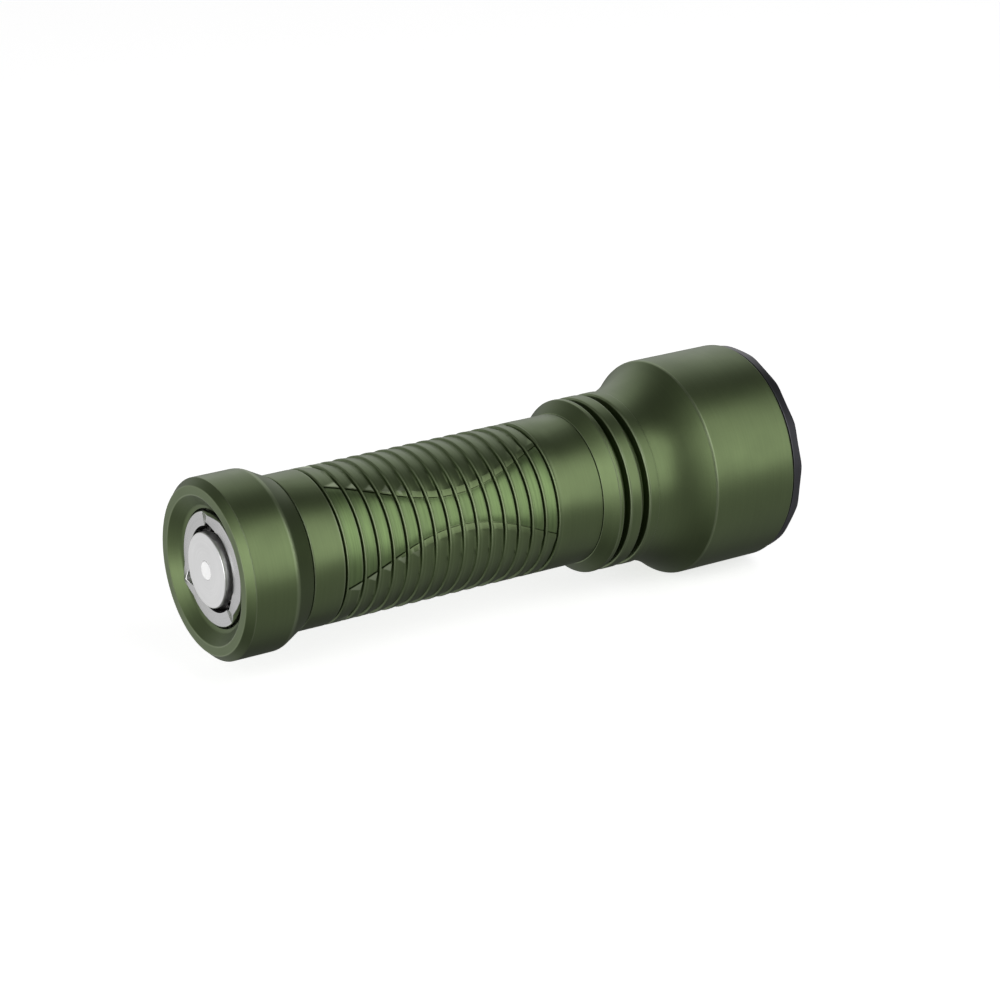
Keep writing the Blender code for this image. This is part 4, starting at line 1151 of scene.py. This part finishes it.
def sky_light(tree, direction, inner, outer, strength):
    """Light from round a direction: full within the inner angle, fading to nothing at the outer one."""
    look = add_node(tree, "ShaderNodeTexCoord").outputs["Generated"]
    inputs = {0: look, 1: Vector(direction).normalized()}
    dot = add_node(tree, "ShaderNodeVectorMath", inputs, operation="DOT_PRODUCT").outputs["Value"]
    soft = add_node(
        tree,
        "ShaderNodeMapRange",
        {0: dot, 1: cos(radians(outer)), 2: cos(radians(inner)), 3: 0.0, 4: 1.0},
        interpolation_type="SMOOTHSTEP",
    )
    return calc(tree, "MULTIPLY", soft.outputs["Result"], strength)


def make_sky():
    """Soft studio surroundings, dim but for four soft lights, before a backdrop that looks white."""
    world = bpy.data.worlds.new("studio")
    bpy.context.scene.world = world
    world.use_nodes = True
    tree = world.node_tree
    tail = calc(tree, "MAXIMUM", sky_light(tree, *REAR_LIGHT), sky_light(tree, *TAIL_LIGHT))
    high = calc(tree, "MAXIMUM", sky_light(tree, *BEHIND_LIGHT), tail)
    lit = calc(tree, "ADD", high, sky_light(tree, *LOW_LIGHT))
    strength = calc(tree, "ADD", lit, DIM_LIGHT)
    background = tree.nodes["Background"]
    background.inputs["Color"].default_value = (1, 1, 1, 1)
    seen = add_node(tree, "ShaderNodeLightPath").outputs["Is Camera Ray"]
    level = add_node(tree, "ShaderNodeMix", data_type="FLOAT")
    tree.links.new(seen, level.inputs[0])
    tree.links.new(strength, level.inputs[2])
    level.inputs[3].default_value = BACKDROP_LIGHT
    tree.links.new(level.outputs[0], background.inputs["Strength"])


def make_panel(name, direction, size, power):
    """A soft panel that faces the torch from a direction."""
    light = bpy.data.lights.new(name, "AREA")
    light.shape = "RECTANGLE"
    light.size, light.size_y = size
    light.energy = power
    obj = bpy.data.objects.new(name, light)
    target = Vector((0, 0, AXIS_Z))
    obj.location = target + Vector(direction).normalized() * PANEL_DISTANCE
    obj.rotation_euler = (target - obj.location).to_track_quat("-Z", "Y").to_euler()
    bpy.context.scene.collection.objects.link(obj)


def make_floor():
    """A pale floor under the head, which lights up softly and is not seen in the metal."""
    half = FLOOR_SIZE / 2
    level = AXIS_Z - HEAD_RADIUS
    mesh = bpy.data.meshes.new("floor")
    corners = [(-half, -half), (half, -half), (half, half), (-half, half)]
    mesh.from_pydata([(x, y, level) for x, y in corners], [], [(0, 1, 2, 3)])
    floor = bpy.data.objects.new("floor", mesh)
    bpy.context.scene.collection.objects.link(floor)
    material, tree, shader = new_material("floor", Roughness=0.9, Emission_Strength=FLOOR_GLOW)
    shader.inputs["Emission Color"].default_value = (1, 1, 1, 1)
    paper = noise(tree, own_point(tree), PAPER_SCALE, 2.0)
    tone = mix_colours(tree, paper, (0.80, 0.80, 0.80, 1), (0.82, 0.82, 0.82, 1))
    tree.links.new(tone, shader.inputs["Base Color"])
    mesh.materials.append(material)
    floor.visible_glossy = False


def make_camera():
    data = bpy.data.cameras.new("camera")
    data.lens = CAMERA_LENS
    data.sensor_width = SENSOR_WIDTH
    data.clip_start = 0.01
    camera = bpy.data.objects.new("camera", data)
    flat = cos(CAMERA_ELEVATION)
    back = Vector(
        (sin(CAMERA_AZIMUTH) * flat, -cos(CAMERA_AZIMUTH) * flat, sin(CAMERA_ELEVATION))
    )
    camera.location = CAMERA_TARGET + back * CAMERA_DISTANCE
    camera.rotation_euler = (-back).to_track_quat("-Z", "Y").to_euler()
    bpy.context.scene.collection.objects.link(camera)
    bpy.context.scene.camera = camera


looks = make_looks()
make_camera()
make_tail_cap()
make_tail_stack(make_contact_crown())
make_button()
make_battery_tube()
make_cell()
make_head()
make_light_engine()
make_front()
paint_cad_nodes()
make_sky()
make_floor()
make_panel("key_panel", *KEY_PANEL)
make_panel("tail_panel", *TAIL_PANEL)
bpy.context.scene.view_settings.view_transform = "Standard"
